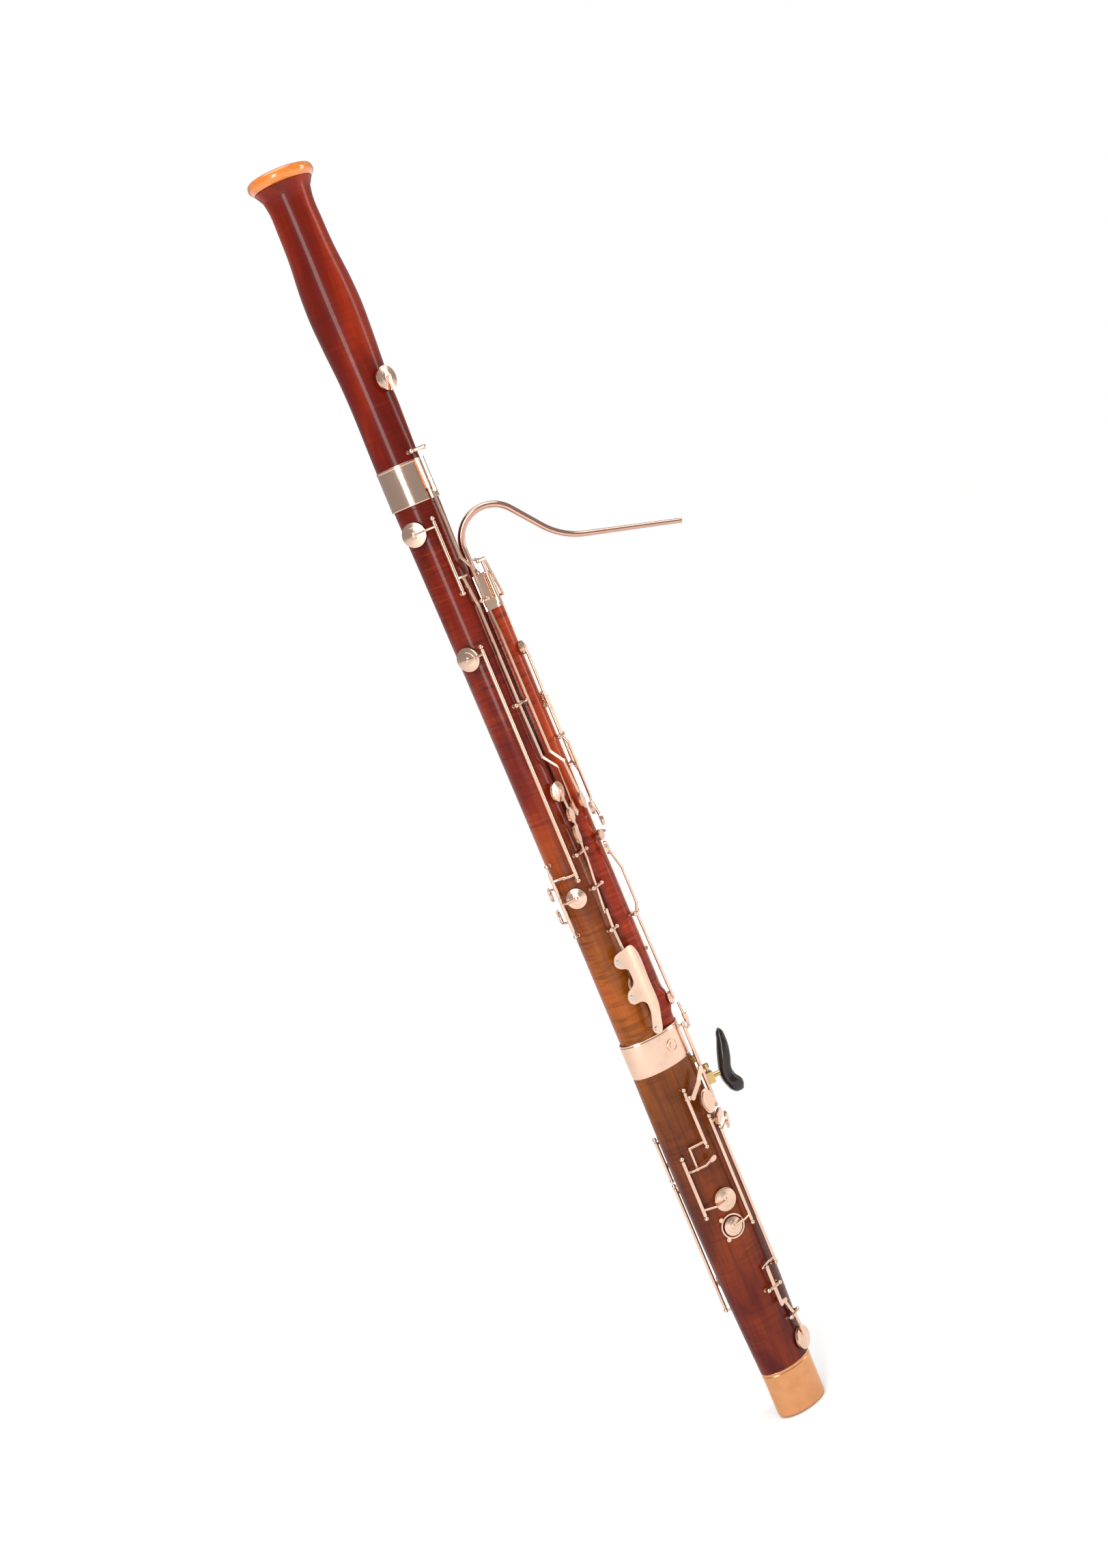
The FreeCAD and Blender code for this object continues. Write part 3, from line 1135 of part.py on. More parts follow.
def make_hand_rest():
    """A rail on the boot, a block, a clamp screw, and the post that carries the crutch."""
    angle = 75
    face = normal(angle)
    up = Vector(0, 0, 1)
    low = float(size.capHeight)
    skin = Vector(33.4, -3.9, 0)
    foot = skin + up * (low + 287)

    def block(centre, through, across, tall):
        box = Part.makeBox(through, across, tall, Vector(0, -across / 2, -tall / 2))
        box.Placement = Placement(centre, Rotation(Vector(1, 0, 0), face)).multiply(box.Placement)
        return box

    rail = block(foot + face * 3.4 + up * 24, 2.6, 9.0, 50.0)
    legs = [block(foot - face * 6 + up * 4, 9.6, 7.0, 6.0), block(foot - face * 6 + up * 44, 9.6, 7.0, 6.0)]
    head = block(foot + face * 6.0 + up * 19, 7.4, 9.0, 12.0)
    hole = float(size.handScrewRadius) + 1.2
    centre = foot + up * 19
    post_bore = Part.makeCylinder(hole + float(size.hingeGap), 30, centre + face * 4.2, face)
    screw_foot = centre + face * 9.8 + up * (hole + 0.5)
    screw_bore = Part.makeCylinder(float(size.handScrewRadius) + float(size.hingeGap), 20, screw_foot, up)
    wood = nodes["boot_body"].Shape
    rest = rail.fuse(legs + [head]).cut(post_bore.fuse(screw_bore)).cut(wood)
    solid("hand_rest_plate", rest)
    shank = Part.makeCylinder(float(size.handScrewRadius), 8.5, screw_foot, up)
    knob = Part.makeCylinder(3.3, 4.2, screw_foot + up * 7.2, up)
    solid("hand_rest_screw", shank.fuse(knob))
    joint_notes["hand_rest_screw"] = (screw_foot, up)
    stem_start = centre + face * 4.6
    stem = Part.makeCylinder(hole, float(size.crutchReach), stem_start, face)
    solid("hand_rest_post", stem)
    joint_notes["hand_rest_post"] = (stem_start, face)
    reach = 4.6 + float(size.crutchReach)
    deep = float(size.crutchThick)
    sections = []
    for out, height, half in ((6.5, -26.5, 2.0), (5.2, -23.0, 6.9), (4.0, -16.0, 9.6), (0.4, -7.0, 7.9),
                              (0.0, 0.0, 7.2), (3.0, 11.0, 7.6), (5.5, 20.0, 7.2), (8.3, 32.0, 5.2),
                              (9.3, 43.0, 1.5)):
        middle = centre + face * (reach + 7.6 + out) + up * height
        other = deep * half / 7.4
        ellipse = Part.Ellipse(Vector(0, 0, 0), max(half, other), min(half, other) * 0.98)
        wire = Part.Wire([ellipse.toShape()])
        wire.Placement = Placement(middle, Rotation(Vector(0, 0, 1), -90 + angle))
        sections.append(wire)
    crutch = Part.makeLoft(sections, True)
    socket = Part.makeCylinder(hole, float(size.crutchReach) + 6, stem_start, face)
    solid("hand_rest_crutch", crutch.cut(socket))
    longer = Part.makeCylinder(hole, float(size.crutchReach) + 6, stem_start, face)
    nodes["hand_rest_post"].Shape = longer


def make_boot_fittings():
    """Badge and strap ring on the band, the guard round the small pad, and the key bumpers."""
    low = float(size.capHeight)
    up = Vector(0, 0, 1)
    top_wide, top_deep = float(size.topHalfWide), float(size.topHalfDeep)
    x = 9.0
    y = -top_deep * math.sqrt(1 - (x / top_wide) ** 2)
    out = Vector(x / top_wide ** 2, y / top_deep ** 2, 0)
    out.normalize()
    spot = Vector(x, y, float(band_foot) + 19) - out * 0.3
    disc = Part.makeCylinder(6.6, 1.5, spot, out)
    ledge = spot + out * 0.9
    groove = Part.makeCylinder(5.4, 1.0, ledge, out).cut(Part.makeCylinder(3.0, 1.0, ledge, out))
    badge = disc.cut(groove).cut(nodes["boot_band"].Shape).cut(nodes["boot_body"].Shape)
    solid("band_badge", badge)
    spot = Vector(-8.0, top_deep, float(band_foot) + 22)
    plate = Part.makeBox(12, 3.2, 12, spot + Vector(-6, -1.6, -6))
    ring = Part.makeTorus(5.0, 1.3, spot + Vector(0, 7.0, 0), Vector(1, 0, 0))
    solid("strap_ring", plate.fuse(ring).cut(nodes["boot_band"].Shape).cut(nodes["boot_body"].Shape))
    centre = boot_point(-7.0, 0) + up * (low + 165)
    out = boot_point(-7.0, 1) - boot_point(-7.0, 0)
    radius = float(size.cupRadius) * 0.82 + 1.6
    collar = Part.makeCylinder(radius + 1.6, 5.0, centre - out * 2.5, out).cut(
        Part.makeCylinder(radius, 9.0, centre - out * 3.5, out))
    lugs = [Part.makeCylinder(2.4, 4.0, centre - out * 2.5 + Vector(-9.4, 0.5, 0) + up * rise, out)
            for rise in (11.0, -11.0)]
    guards.append(collar.fuse(lugs).cut(nodes["boot_body"].Shape))


def make_bumpers():
    """Cork blocks under levers."""
    low = float(boot_top)
    blocks = []
    for x, angle, foot, height, joint in (
            (bass_x, 14, 23.0, low + 484, "bass_joint"), (bass_x, 40, 23.0, low + 300, "bass_joint"),
            (wing_x, 42, 10.0, low + 345, "wing_joint"), (wing_x, 48, 10.0, low + 80, "wing_joint")):
        face = normal(angle)
        start = polar(x, angle, float(foot) - 5, height)
        reach = {"bass_joint": 23.2 - foot + 5, "wing_joint": float(size.wingRadius) + 2.6 - foot + 5}[joint]
        blocks.append(Part.makeCylinder(1.8, reach, start, face).cut(nodes[joint].Shape))
    solid("key_bumpers", Part.makeCompound(blocks))


WOODS = {"bell": ("bell", "bell_sleeve"), "bass": ("bass_joint",), "wing": ("wing_joint", "wing_sleeve"),
         "boot": ("boot_body", "boot_band", "boot_cap")}


def make_posts():
    """Ball posts, trimmed where they meet the wood, and the steel rods they hold."""
    every = []
    for joint, items in posts.items():
        trimmed = []
        for item in items:
            for name in WOODS[joint]:
                item = item.cut(nodes[name].Shape)
            trimmed.append(max(item.Solids, key=lambda piece: piece.Volume))
        every.extend(trimmed)
    solid("key_posts", Part.makeCompound(every))
    solid("hinge_rods", Part.makeCompound(rods))


make_bell()
make_bell_ring()
make_bell_sleeve()
make_bass_joint()
make_bocal_socket()
make_boot()
make_boot_band()
make_boot_cap()
make_wing_joint()
make_wing_sleeve()
doc.recompute()
make_tenon_corks()
make_u_tube()
make_bocal()
make_body_lock()
make_hand_rest()
make_boot_fittings()
make_bell_key()
make_b_flat_lever()
make_b_lever()
make_bass_side_keys()
make_bass_thumb_keys()
make_key_guard()
make_wing_keys()
make_boot_keys()
make_finger_side_keys()
make_bumpers()
make_posts()
doc.recompute()

for thing in doc.Objects:
    if "Invalid" in thing.State or "Error" in thing.State:
        raise RuntimeError("%s failed: %s" % (thing.Label, thing.State))
for name, thing in nodes.items():
    if thing.Shape.isNull() or not thing.Shape.isValid():
        raise RuntimeError("%s has no valid shape" % name)

os.makedirs("parts", exist_ok=True)
for name, thing in nodes.items():
    thing.Shape.exportStep("parts/%s.step" % name)
for name, (spot, axis) in joint_notes.items():
    print("%-20s pos %.3f %.3f %.3f axis %.5f %.5f %.5f" % ((name,) + tuple(spot) + tuple(axis)))
print(len(nodes), "nodes")
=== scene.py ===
import json
import math

import bpy
import numpy as np
from bpy.props import FloatProperty, FloatVectorProperty, PointerProperty
from mathutils import Matrix, Vector


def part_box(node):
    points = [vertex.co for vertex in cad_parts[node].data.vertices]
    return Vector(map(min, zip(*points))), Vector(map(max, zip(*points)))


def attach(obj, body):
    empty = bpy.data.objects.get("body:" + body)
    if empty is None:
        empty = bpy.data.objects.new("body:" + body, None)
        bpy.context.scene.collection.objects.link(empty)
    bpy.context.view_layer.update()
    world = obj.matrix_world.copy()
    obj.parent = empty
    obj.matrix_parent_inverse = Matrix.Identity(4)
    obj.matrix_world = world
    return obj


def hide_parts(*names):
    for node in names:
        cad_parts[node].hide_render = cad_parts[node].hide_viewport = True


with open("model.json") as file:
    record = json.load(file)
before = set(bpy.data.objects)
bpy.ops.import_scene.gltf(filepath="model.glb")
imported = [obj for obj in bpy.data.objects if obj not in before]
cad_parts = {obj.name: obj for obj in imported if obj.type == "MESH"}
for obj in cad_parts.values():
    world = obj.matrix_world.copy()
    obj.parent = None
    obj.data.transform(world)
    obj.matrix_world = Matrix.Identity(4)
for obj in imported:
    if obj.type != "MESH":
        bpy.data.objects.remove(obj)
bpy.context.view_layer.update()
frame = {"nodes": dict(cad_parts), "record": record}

bl_info = {
    "name": "Bassoon finish",
    "version": (1, 0, 0),
    "blender": (4, 5, 0),
    "location": "View3D > Sidebar > Bassoon",
    "description": "Turned and carved surfaces, lacquer, plate and studio for a bassoon",
    "category": "Add Mesh",
}

MM = 0.001
AROUND = 144
NODES = frame["nodes"]


def low(node):
    return np.array(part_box(node)[0])


def high(node):
    return np.array(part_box(node)[1])


def middle(node):
    return (low(node) + high(node)) / 2


BASS_X = float(middle("bell_sleeve")[0])
WING_X = float(middle("bocal_socket")[0])
BAND_FOOT = float(low("boot_band")[2])
BAND_TOP = float(high("boot_band")[2])
BELL_FOOT = float(low("bell_sleeve")[2])
SLEEVE_TOP = float(high("bell_sleeve")[2])
RING_FOOT = float(low("bell_ring")[2])
WING_SLEEVE_FOOT = float(low("wing_sleeve")[2])
WING_TOP = float(high("wing_sleeve")[2])
CAP_TOP = float(high("boot_cap")[2])


# ------------------------------------------------------------------ surfaces

def mesh_piece(name, points, faces, material, body, stands_for=(), sharp=40.0):
    """Makes an object of the points and faces, turned so that its faces look outwards."""
    points = np.asarray(points, float).reshape(-1, 3)
    lead = points[[face[0] for face in faces]]
    second = points[[face[1] for face in faces]]
    third = points[[face[2] for face in faces]]
    last = points[[face[-1] for face in faces]]
    volume = np.einsum("ij,ij->i", lead, np.cross(second, third)) + np.einsum(
        "ij,ij->i", lead, np.cross(third, last))
    if volume.sum() < 0:
        faces = [face[::-1] for face in faces]
    mesh = bpy.data.meshes.new(name)
    mesh.from_pydata(points.tolist(), [], faces)
    mesh.polygons.foreach_set("use_smooth", np.ones(len(mesh.polygons), bool))
    mesh.set_sharp_from_angle(angle=math.radians(sharp))
    mesh.materials.append(material)
    mesh.update()
    piece = bpy.data.objects.new(name, mesh)
    bpy.context.scene.collection.objects.link(piece)
    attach(piece, body)
    if stands_for:
        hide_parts(*stands_for)
    return piece


def grid_faces(rows, columns, close_rows=False, start=0):
    """Quads between a grid's rows and columns; the columns always close on themselves."""
    row = np.arange(rows if close_rows else rows - 1)
    column = np.arange(columns)
    row, column = np.meshgrid(row, column, indexing="ij")
    below = row * columns
    above = ((row + 1) % rows) * columns
    after = (column + 1) % columns
    quads = np.stack([below + column, below + after, above + after, above + column], axis=-1)
    return (quads.reshape(-1, 4) + start).tolist()


def capped(rows, columns, start=0):
    """The grid's quads with both end rows closed by a flat face."""
    faces = grid_faces(rows, columns, start=start)
    faces.append(list(range(start + columns - 1, start - 1, -1)))
    faces.append(list(range(start + (rows - 1) * columns, start + rows * columns)))
    return faces


def rounded(corners, steps=5):
    """A closed outline from (across, up, fillet) corners: each corner gives way to a quadratic
    curve that starts and ends one fillet length from it along its two sides."""
    corners = np.array(corners, float)
    share = np.linspace(0, 1, steps)[:, None]
    runs = []
    for number, corner in enumerate(corners):
        spot = corner[:2]
        before = corners[number - 1][:2] - spot
        after = corners[(number + 1) % len(corners)][:2] - spot
        reach = min(corner[2], 0.48 * np.linalg.norm(before), 0.48 * np.linalg.norm(after))
        first = spot + before / np.linalg.norm(before) * reach
        last = spot + after / np.linalg.norm(after) * reach
        runs.append(first * (1 - share) ** 2 + 2 * spot * share * (1 - share) + last * share ** 2)
    return np.concatenate(runs)


def through(stations, at):
    """A smooth curve through stations (place, value...): cubic Hermite pieces with slopes taken
    from each station's neighbours."""
    stations = np.array(stations, float)
    place, value = stations[:, 0], stations[:, 1:]
    slope = np.gradient(value, place, axis=0)
    number = np.clip(np.searchsorted(place, at) - 1, 0, len(place) - 2)
    width = (place[number + 1] - place[number])[:, None]
    t = ((at - place[number]) / width[:, 0])[:, None]
    t = np.clip(t, 0, 1)
    ease = 3 * t ** 2 - 2 * t ** 3
    from_values = (1 - ease) * value[number] + ease * value[number + 1]
    from_slopes = (t ** 3 - 2 * t ** 2 + t) * slope[number] + (t ** 3 - t ** 2) * slope[number + 1]
    return from_values + width * from_slopes


def angles(count=AROUND):
    """Evenly spaced angles of one turn."""
    return np.linspace(0, 2 * math.pi, count, endpoint=False)


def lathe(outline, x, count=AROUND):
    """Each (radius, height) of the outline goes round the vertical line at x: radius times cosine
    and sine of the angle."""
    turn = angles(count)
    outline = np.asarray(outline, float)
    grid = np.empty((len(outline), count, 3))
    grid[..., 0] = x + outline[:, :1] * np.cos(turn)
    grid[..., 1] = outline[:, :1] * np.sin(turn)
    grid[..., 2] = outline[:, 1:2]
    return grid


def oval_rows(wide, deep, height, count=AROUND):
    """Rows of ovals: half width times cosine, half depth times sine of the angle, at each height."""
    turn = angles(count)
    grid = np.empty((len(height), count, 3))
    grid[..., 0] = np.asarray(wide)[:, None] * np.cos(turn)
    grid[..., 1] = np.asarray(deep)[:, None] * np.sin(turn)
    grid[..., 2] = np.asarray(height)[:, None]
    return grid


def tube_rows(path, radius, count=40):
    """A round section carried along a path: at each point the section's two directions are square
    to the path's tangent, the first of them level with the path's own plane."""
    path = np.asarray(path, float)
    tangent = np.gradient(path, axis=0)
    tangent /= np.linalg.norm(tangent, axis=1)[:, None]
    flat = path[-1] - path[0]
    side = np.cross([0, 0, 1], flat / np.linalg.norm(flat))
    side = np.repeat((side / np.linalg.norm(side))[None], len(path), axis=0)
    other = np.cross(tangent, side)
    turn = angles(count)
    radius = np.asarray(radius, float)[:, None, None]
    return path[:, None] + radius * (side[:, None] * np.cos(turn)[None, :, None]
                                     + other[:, None] * np.sin(turn)[None, :, None])


def dense_near(heights, holes):
    """The heights with thirty-one closer ones added across each hole."""
    close = [np.linspace(hole - 4 * MM, hole + 4 * MM, 31) for hole in holes]
    return np.unique(np.concatenate([heights] + close))


def sink_holes(grid, x, holes, sizes):
    """Sinks finger holes into the side that faces +Y: the depth times a smooth step of each point's
    distance from the hole's centre."""
    for hole in holes:
        away = np.hypot(grid[..., 0] - x, grid[..., 2] - hole)
        step = np.clip((sizes.hole_radius - away) / (0.5 * MM), 0, 1)
        grid[..., 1] -= np.where(grid[..., 1] > 0, sizes.hole_depth * step ** 2 * (3 - 2 * step), 0)


# ------------------------------------------------------------------ shaders

class Value:
    """A number that varies over a surface. Arithmetic on it adds Math nodes to its material."""

    def __init__(self, paint, socket):
        self.paint = paint
        self.socket = socket

    def math(self, operation, *values):
        return self.paint.make("ShaderNodeMath", {"operation": operation}, dict(enumerate(values)))

    def __add__(self, other):
        return self.math("ADD", self, other)

    __radd__ = __add__

    def __sub__(self, other):
        return self.math("SUBTRACT", self, other)

    def __rsub__(self, other):
        return self.math("SUBTRACT", other, self)

    def __mul__(self, other):
        return self.math("MULTIPLY", self, other)

    __rmul__ = __mul__

    def __pow__(self, other):
        return self.math("POWER", self, other)

    def clamp(self):
        return self.math("MINIMUM", self.math("MAXIMUM", self, 0.0), 1.0)


class Paint:
    """One material under construction, with its Principled shader."""

    def __init__(self, name, **constants):
        self.material = bpy.data.materials.new(name)
        self.material.use_nodes = True
        self.tree = self.material.node_tree
        self.shader = self.tree.nodes["Principled BSDF"]
        for socket, value in constants.items():
            self.shader.inputs[socket.replace("_", " ")].default_value = value

    def make(self, kind, settings, values, output=0):
        """Adds a node: its settings are set first, then the values or links of its sockets."""
        node = self.tree.nodes.new(kind)
        for setting, value in settings.items():
            setattr(node, setting, value)
        for socket, value in values.items():
            self.feed(node.inputs[socket], value)
        return Value(self, node.outputs[output])

    def feed(self, socket, value):
        if isinstance(value, Value):
            self.tree.links.new(value.socket, socket)
        elif hasattr(socket.default_value, "__len__") and len(socket.default_value) == 4:
            socket.default_value = (*value, 1.0) if len(value) == 3 else value
        else:
            socket.default_value = value

    def place(self, stretch=(1, 1, 1)):
        """The point on the object, with each direction stretched."""
        spot = self.make("ShaderNodeTexCoord", {}, {}, "Object")
        return self.make("ShaderNodeMapping", {}, {"Vector": spot, "Scale": stretch})

    def height(self):
        """How high the point stands above the floor."""
        spot = self.make("ShaderNodeTexCoord", {}, {}, "Object")
        return self.make("ShaderNodeSeparateXYZ", {}, {"Vector": spot}, "Z")

    def noise(self, scale, detail=3.0, rough=0.55, stretch=(1, 1, 1), distortion=0.0):
        return self.make("ShaderNodeTexNoise", {}, {
            "Vector": self.place(stretch), "Scale": scale, "Detail": detail, "Roughness": rough,
            "Distortion": distortion})

    def mix(self, share, first, second, way="MIX"):
        return self.make("ShaderNodeMix", {"data_type": "RGBA", "blend_type": way},
                         {0: share, 6: first, 7: second}, 2)

    def bump(self, height, strength, distance):
        normal = self.make("ShaderNodeBump", {}, {
            "Height": height, "Strength": strength, "Distance": distance})
        self.feed(self.shader.inputs["Normal"], normal)

    def set(self, socket, value):
        self.feed(self.shader.inputs[socket], value)


def rgb(colour):
    return tuple(colour)[:3]


def darker(colour, share):
    return tuple(part * share for part in rgb(colour))


def lacquered_maple(name, foot, top, foot_z, top_z, curl, grain, tone, painted_highlight_colour):
    """Maple under stain and clear lacquer: the stain runs from one colour at the foot to another at
    the top; cloudy dark patches and cloudy patches of painted highlight; short curly flecks cross the grain
    with painted sheen between them; vessels run along it."""
    paint = Paint(name, Coat_Weight=0.32, Coat_Roughness=0.06, Coat_IOR=1.45, IOR=1.45,
                  Specular_IOR_Level=0.12)
    rise = ((paint.height() - foot_z) * (1.0 / (top_z - foot_z))).clamp() ** 1.4
    stain = paint.mix(rise, rgb(foot), rgb(top))
    cloud = paint.noise(11.0, 4.0, 0.55, stretch=(1.6, 1.6, 0.55), distortion=0.6)
    deep = ((cloud - 0.42) * 3.2).clamp()
    # painted highlight: cloudy patches mixed towards the highlight colour
    painted_highlight_patches = ((0.5 - cloud) * 3.4).clamp()
    curly = paint.noise(52.0, 4.0, 0.62, stretch=(0.5, 0.5, 5.6), distortion=0.5)
    flecks = ((curly - 0.48) * 7.0).clamp() * (((paint.noise(19.0, 2.0) - 0.36) * 4.0).clamp())
    # painted sheen: the curly figure's bright stripes in the highlight colour
    painted_curl_sheen = ((0.42 - curly) * 6.0).clamp()
    vessels = ((paint.noise(900.0, 3.0, 0.6, stretch=(1, 1, 0.025)) - 0.5) * 5.0).clamp()
    streaks = ((paint.noise(190.0, 4.0, 0.65, stretch=(1, 1, 0.03)) - 0.46) * 3.6).clamp()
    colour = paint.mix(deep * 0.8, stain, rgb(tone))
    colour = paint.mix(painted_highlight_patches * 0.6, colour, rgb(painted_highlight_colour))
    colour = paint.mix(painted_curl_sheen * (curl * 0.5), colour, rgb(painted_highlight_colour))
    colour = paint.mix(flecks * curl, colour, darker(tone, 0.8))
    colour = paint.mix(streaks * grain, colour, darker(tone, 0.6))
    colour = paint.mix(vessels * (grain * 0.6), colour, darker(tone, 0.35))
    paint.set("Base Color", colour)
    paint.set("Roughness", 0.33 + flecks * 0.10 + streaks * 0.06)
    paint.bump(streaks * 0.5 + curly * 0.5, 0.06, 0.0004)
    return paint.material


def plated(name, colour, rough=0.13, tarnish=(0.36, 0.22, 0.15), depth=0.35, shine=0.10):
    """Plate over nickel silver: bright, with faint cloudy tarnish, wiping marks and fine scratches."""
    paint = Paint(name, Metallic=1.0)
    cloud = ((paint.noise(60.0, 4.0, 0.6) - 0.45) * 2.2).clamp()
    wipe = paint.noise(900.0, 2.0, stretch=(1, 1, 0.08))
    colour = paint.mix(cloud * depth, rgb(colour), tarnish)
    paint.set("Base Color", colour)
    paint.set("Roughness", rough + cloud * shine + wipe * 0.05)
    paint.bump(wipe * 0.5 + paint.noise(260.0, 2.0), 0.025, 0.0002)
    return paint.material


def amber(name, colour):
    """Stained amber resin: light at the rim, warmer in cloudy swirls."""
    paint = Paint(name, Coat_Weight=1.0, Coat_Roughness=0.03, Roughness=0.22)
    swirl = paint.noise(34.0, 4.0, 0.6, stretch=(1, 1, 2.2), distortion=1.6)
    paint.set("Base Color", paint.mix(((swirl - 0.35) * 2.4).clamp(), rgb(colour), darker(colour, 0.62)))
    paint.set("Roughness", 0.18 + swirl * 0.10)
    paint.bump(swirl, 0.03, 0.0003)
    return paint.material


def cork(name):
    """Cork: tan grains with darker pits between them."""
    paint = Paint(name, Roughness=0.85)
    cells = paint.make("ShaderNodeTexVoronoi", {}, {"Vector": paint.place(), "Scale": 900.0}, "Distance")
    pits = ((paint.noise(700.0, 3.0) - 0.52) * 6.0).clamp()
    paint.set("Base Color", paint.mix(pits, paint.mix(cells, (0.50, 0.30, 0.15), (0.36, 0.20, 0.09)),
                                      (0.14, 0.06, 0.03)))
    paint.set("Roughness", 0.78 + cells * 0.15)
    paint.bump(cells - pits, 0.4, 0.0003)
    return paint.material


def leather(name):
    """Tan kid leather over felt: fine pebbled grain."""
    paint = Paint(name, Sheen_Weight=0.2)
    grain = paint.make("ShaderNodeTexVoronoi", {}, {"Vector": paint.place(), "Scale": 1500.0}, "Distance")
    cloud = paint.noise(160.0, 3.0)
    paint.set("Base Color", paint.mix(cloud, (0.62, 0.47, 0.32), (0.44, 0.30, 0.19)))
    paint.set("Roughness", 0.6 + cloud * 0.2)
    paint.bump(grain, 0.3, 0.0002)
    return paint.material


def black_resin(name, colour):
    """Polished black resin with hand rubbing and hairline scratches."""
    paint = Paint(name, Coat_Weight=0.3, Coat_Roughness=0.05, Specular_IOR_Level=0.3)
    rub = ((paint.noise(55.0, 4.0, 0.6) - 0.4) * 2.0).clamp()
    hair = paint.noise(800.0, 2.0, stretch=(1, 0.1, 1))
    paint.set("Base Color", paint.mix(rub, rgb(colour), (0.026, 0.016, 0.013)))
    paint.set("Roughness", 0.10 + rub * 0.16 + hair * 0.04)
    paint.bump(hair, 0.03, 0.0002)
    return paint.material


MATERIALS = {}


def material(name):
    """The finish of that name, made once."""
    if name not in MATERIALS:
        colours = bpy.context.scene.bassoon_colours
        MATERIALS[name] = {
            # each maple's last two colours are its dark tone and then its painted highlight colour
            "bell_wood": lambda: lacquered_maple(
                "bell_maple", colours.bell_foot, colours.bell_top,
                SLEEVE_TOP, RING_FOOT, 0.22, 0.25,
                (0.040, 0.002, 0.001), (0.46, 0.045, 0.004)),
            "bass_wood": lambda: lacquered_maple(
                "bass_maple", colours.bass_foot, colours.bass_top,
                BAND_TOP + 60 * MM, BAND_TOP + 260 * MM, 0.62, 0.35,
                (0.045, 0.003, 0.001), (0.48, 0.075, 0.005)),
            "wing_wood": lambda: lacquered_maple(
                "wing_maple", colours.wing_foot, colours.wing_top,
                BAND_TOP, WING_TOP, 0.8, 0.25,
                (0.085, 0.005, 0.001), (0.60, 0.095, 0.006)),
            "boot_wood": lambda: lacquered_maple(
                "boot_maple", colours.boot_foot, colours.boot_top,
                CAP_TOP + 70 * MM, BAND_FOOT + 20 * MM, 0.30, 0.5,
                (0.028, 0.002, 0.001), (0.36, 0.060, 0.005)),
            "bell_ring": lambda: amber("bell_ring_amber", colours.ring),
            "silver": lambda: plated("silver_plate", colours.silver),
            "copper": lambda: plated("copper_plate", colours.copper, 0.20, (0.40, 0.15, 0.05), 0.5),
            "bocal_metal": lambda: plated("bocal_plate", colours.bocal, 0.10, (0.36, 0.18, 0.12), 0.3),
            "brass": lambda: plated("polished_brass", colours.brass, 0.18, (0.45, 0.26, 0.10), 0.4),
            "steel": lambda: plated("ground_steel", (0.58, 0.56, 0.54), 0.24, (0.30, 0.28, 0.26), 0.4),
            "cork": lambda: cork("cork_sheet"),
            "pad_leather": lambda: leather("pad_kid"),
            "crutch_black": lambda: black_resin("crutch_resin", colours.crutch),
        }[name]()
    return MATERIALS[name]


# ------------------------------------------------------------------ pieces

def make_bell(sizes):
    """Outer skin through the bell's turning stations, a rolled mouth, and the bore back down."""
    rise = [(0, 0), (38, 0), (130, -0.4), (173, 2.1), (197, 3.0), (221, 2.2), (259, -0.9), (281, -1.4),
            (305, -1.2), (314, 0.4)]
    waist = sizes.bell_waist
    at = np.linspace(0, 314 * MM, 120)
    radius = through([(z * MM, waist + more * MM) for z, more in rise], at)[:, 0]
    outer = np.column_stack([radius, BELL_FOOT + at])
    flare = rounded([(28.9 * MM, RING_FOOT - 0.4 * MM, 1 * MM), (28.9 * MM, RING_FOOT, 0.4 * MM),
                     (19.5 * MM, RING_FOOT, 1 * MM)])
    bore = np.column_stack([np.linspace(18.4, 16.2, 24) * MM, np.linspace(RING_FOOT - 0.01, BELL_FOOT, 24)])
    outline = np.concatenate([outer, flare[:10], bore])
    sleeved = outline[:, 1] < SLEEVE_TOP - 1 * MM
    outline[:, 0] = np.where(sleeved, np.minimum(outline[:, 0], 23.6 * MM), outline[:, 0])
    grid = lathe(outline, BASS_X)
    mesh_piece("bell_skin", grid, grid_faces(len(outline), AROUND, True), material("bell_wood"), "body",
               ("bell",))
    ring = rounded([(20.5, 0.5, 1.5), (28.8, 0.4, 0.5), (31.0, 1.6, 1.2), (33.3, 5.4, 3.0), (32.2, 11.0, 3.2),
                    (27.5, 12.8, 2.6), (22.2, 12.0, 2.0)], 8) * MM
    ring[:, 1] += RING_FOOT
    mesh_piece("bell_ring_skin", lathe(ring, BASS_X), grid_faces(len(ring), AROUND, True),
               material("bell_ring"), "body", ("bell_ring",))
    top = (SLEEVE_TOP - BELL_FOOT) / MM
    sleeve = rounded([(23.7, 0.1, 0.1), (24.5, 0.1, 0.3), (24.7, 1.4, 0.5), (24.5, 2.6, 0.6),
                      (24.45, top - 2.6, 0.6), (24.7, top - 1.4, 0.5), (24.5, top, 0.4),
                      (23.7, top, 0.1)]) * MM
    sleeve[:, 1] += BELL_FOOT
    mesh_piece("bell_sleeve_skin", lathe(sleeve, BASS_X), grid_faces(len(sleeve), AROUND, True),
               material("silver"), "body", ("bell_sleeve",))


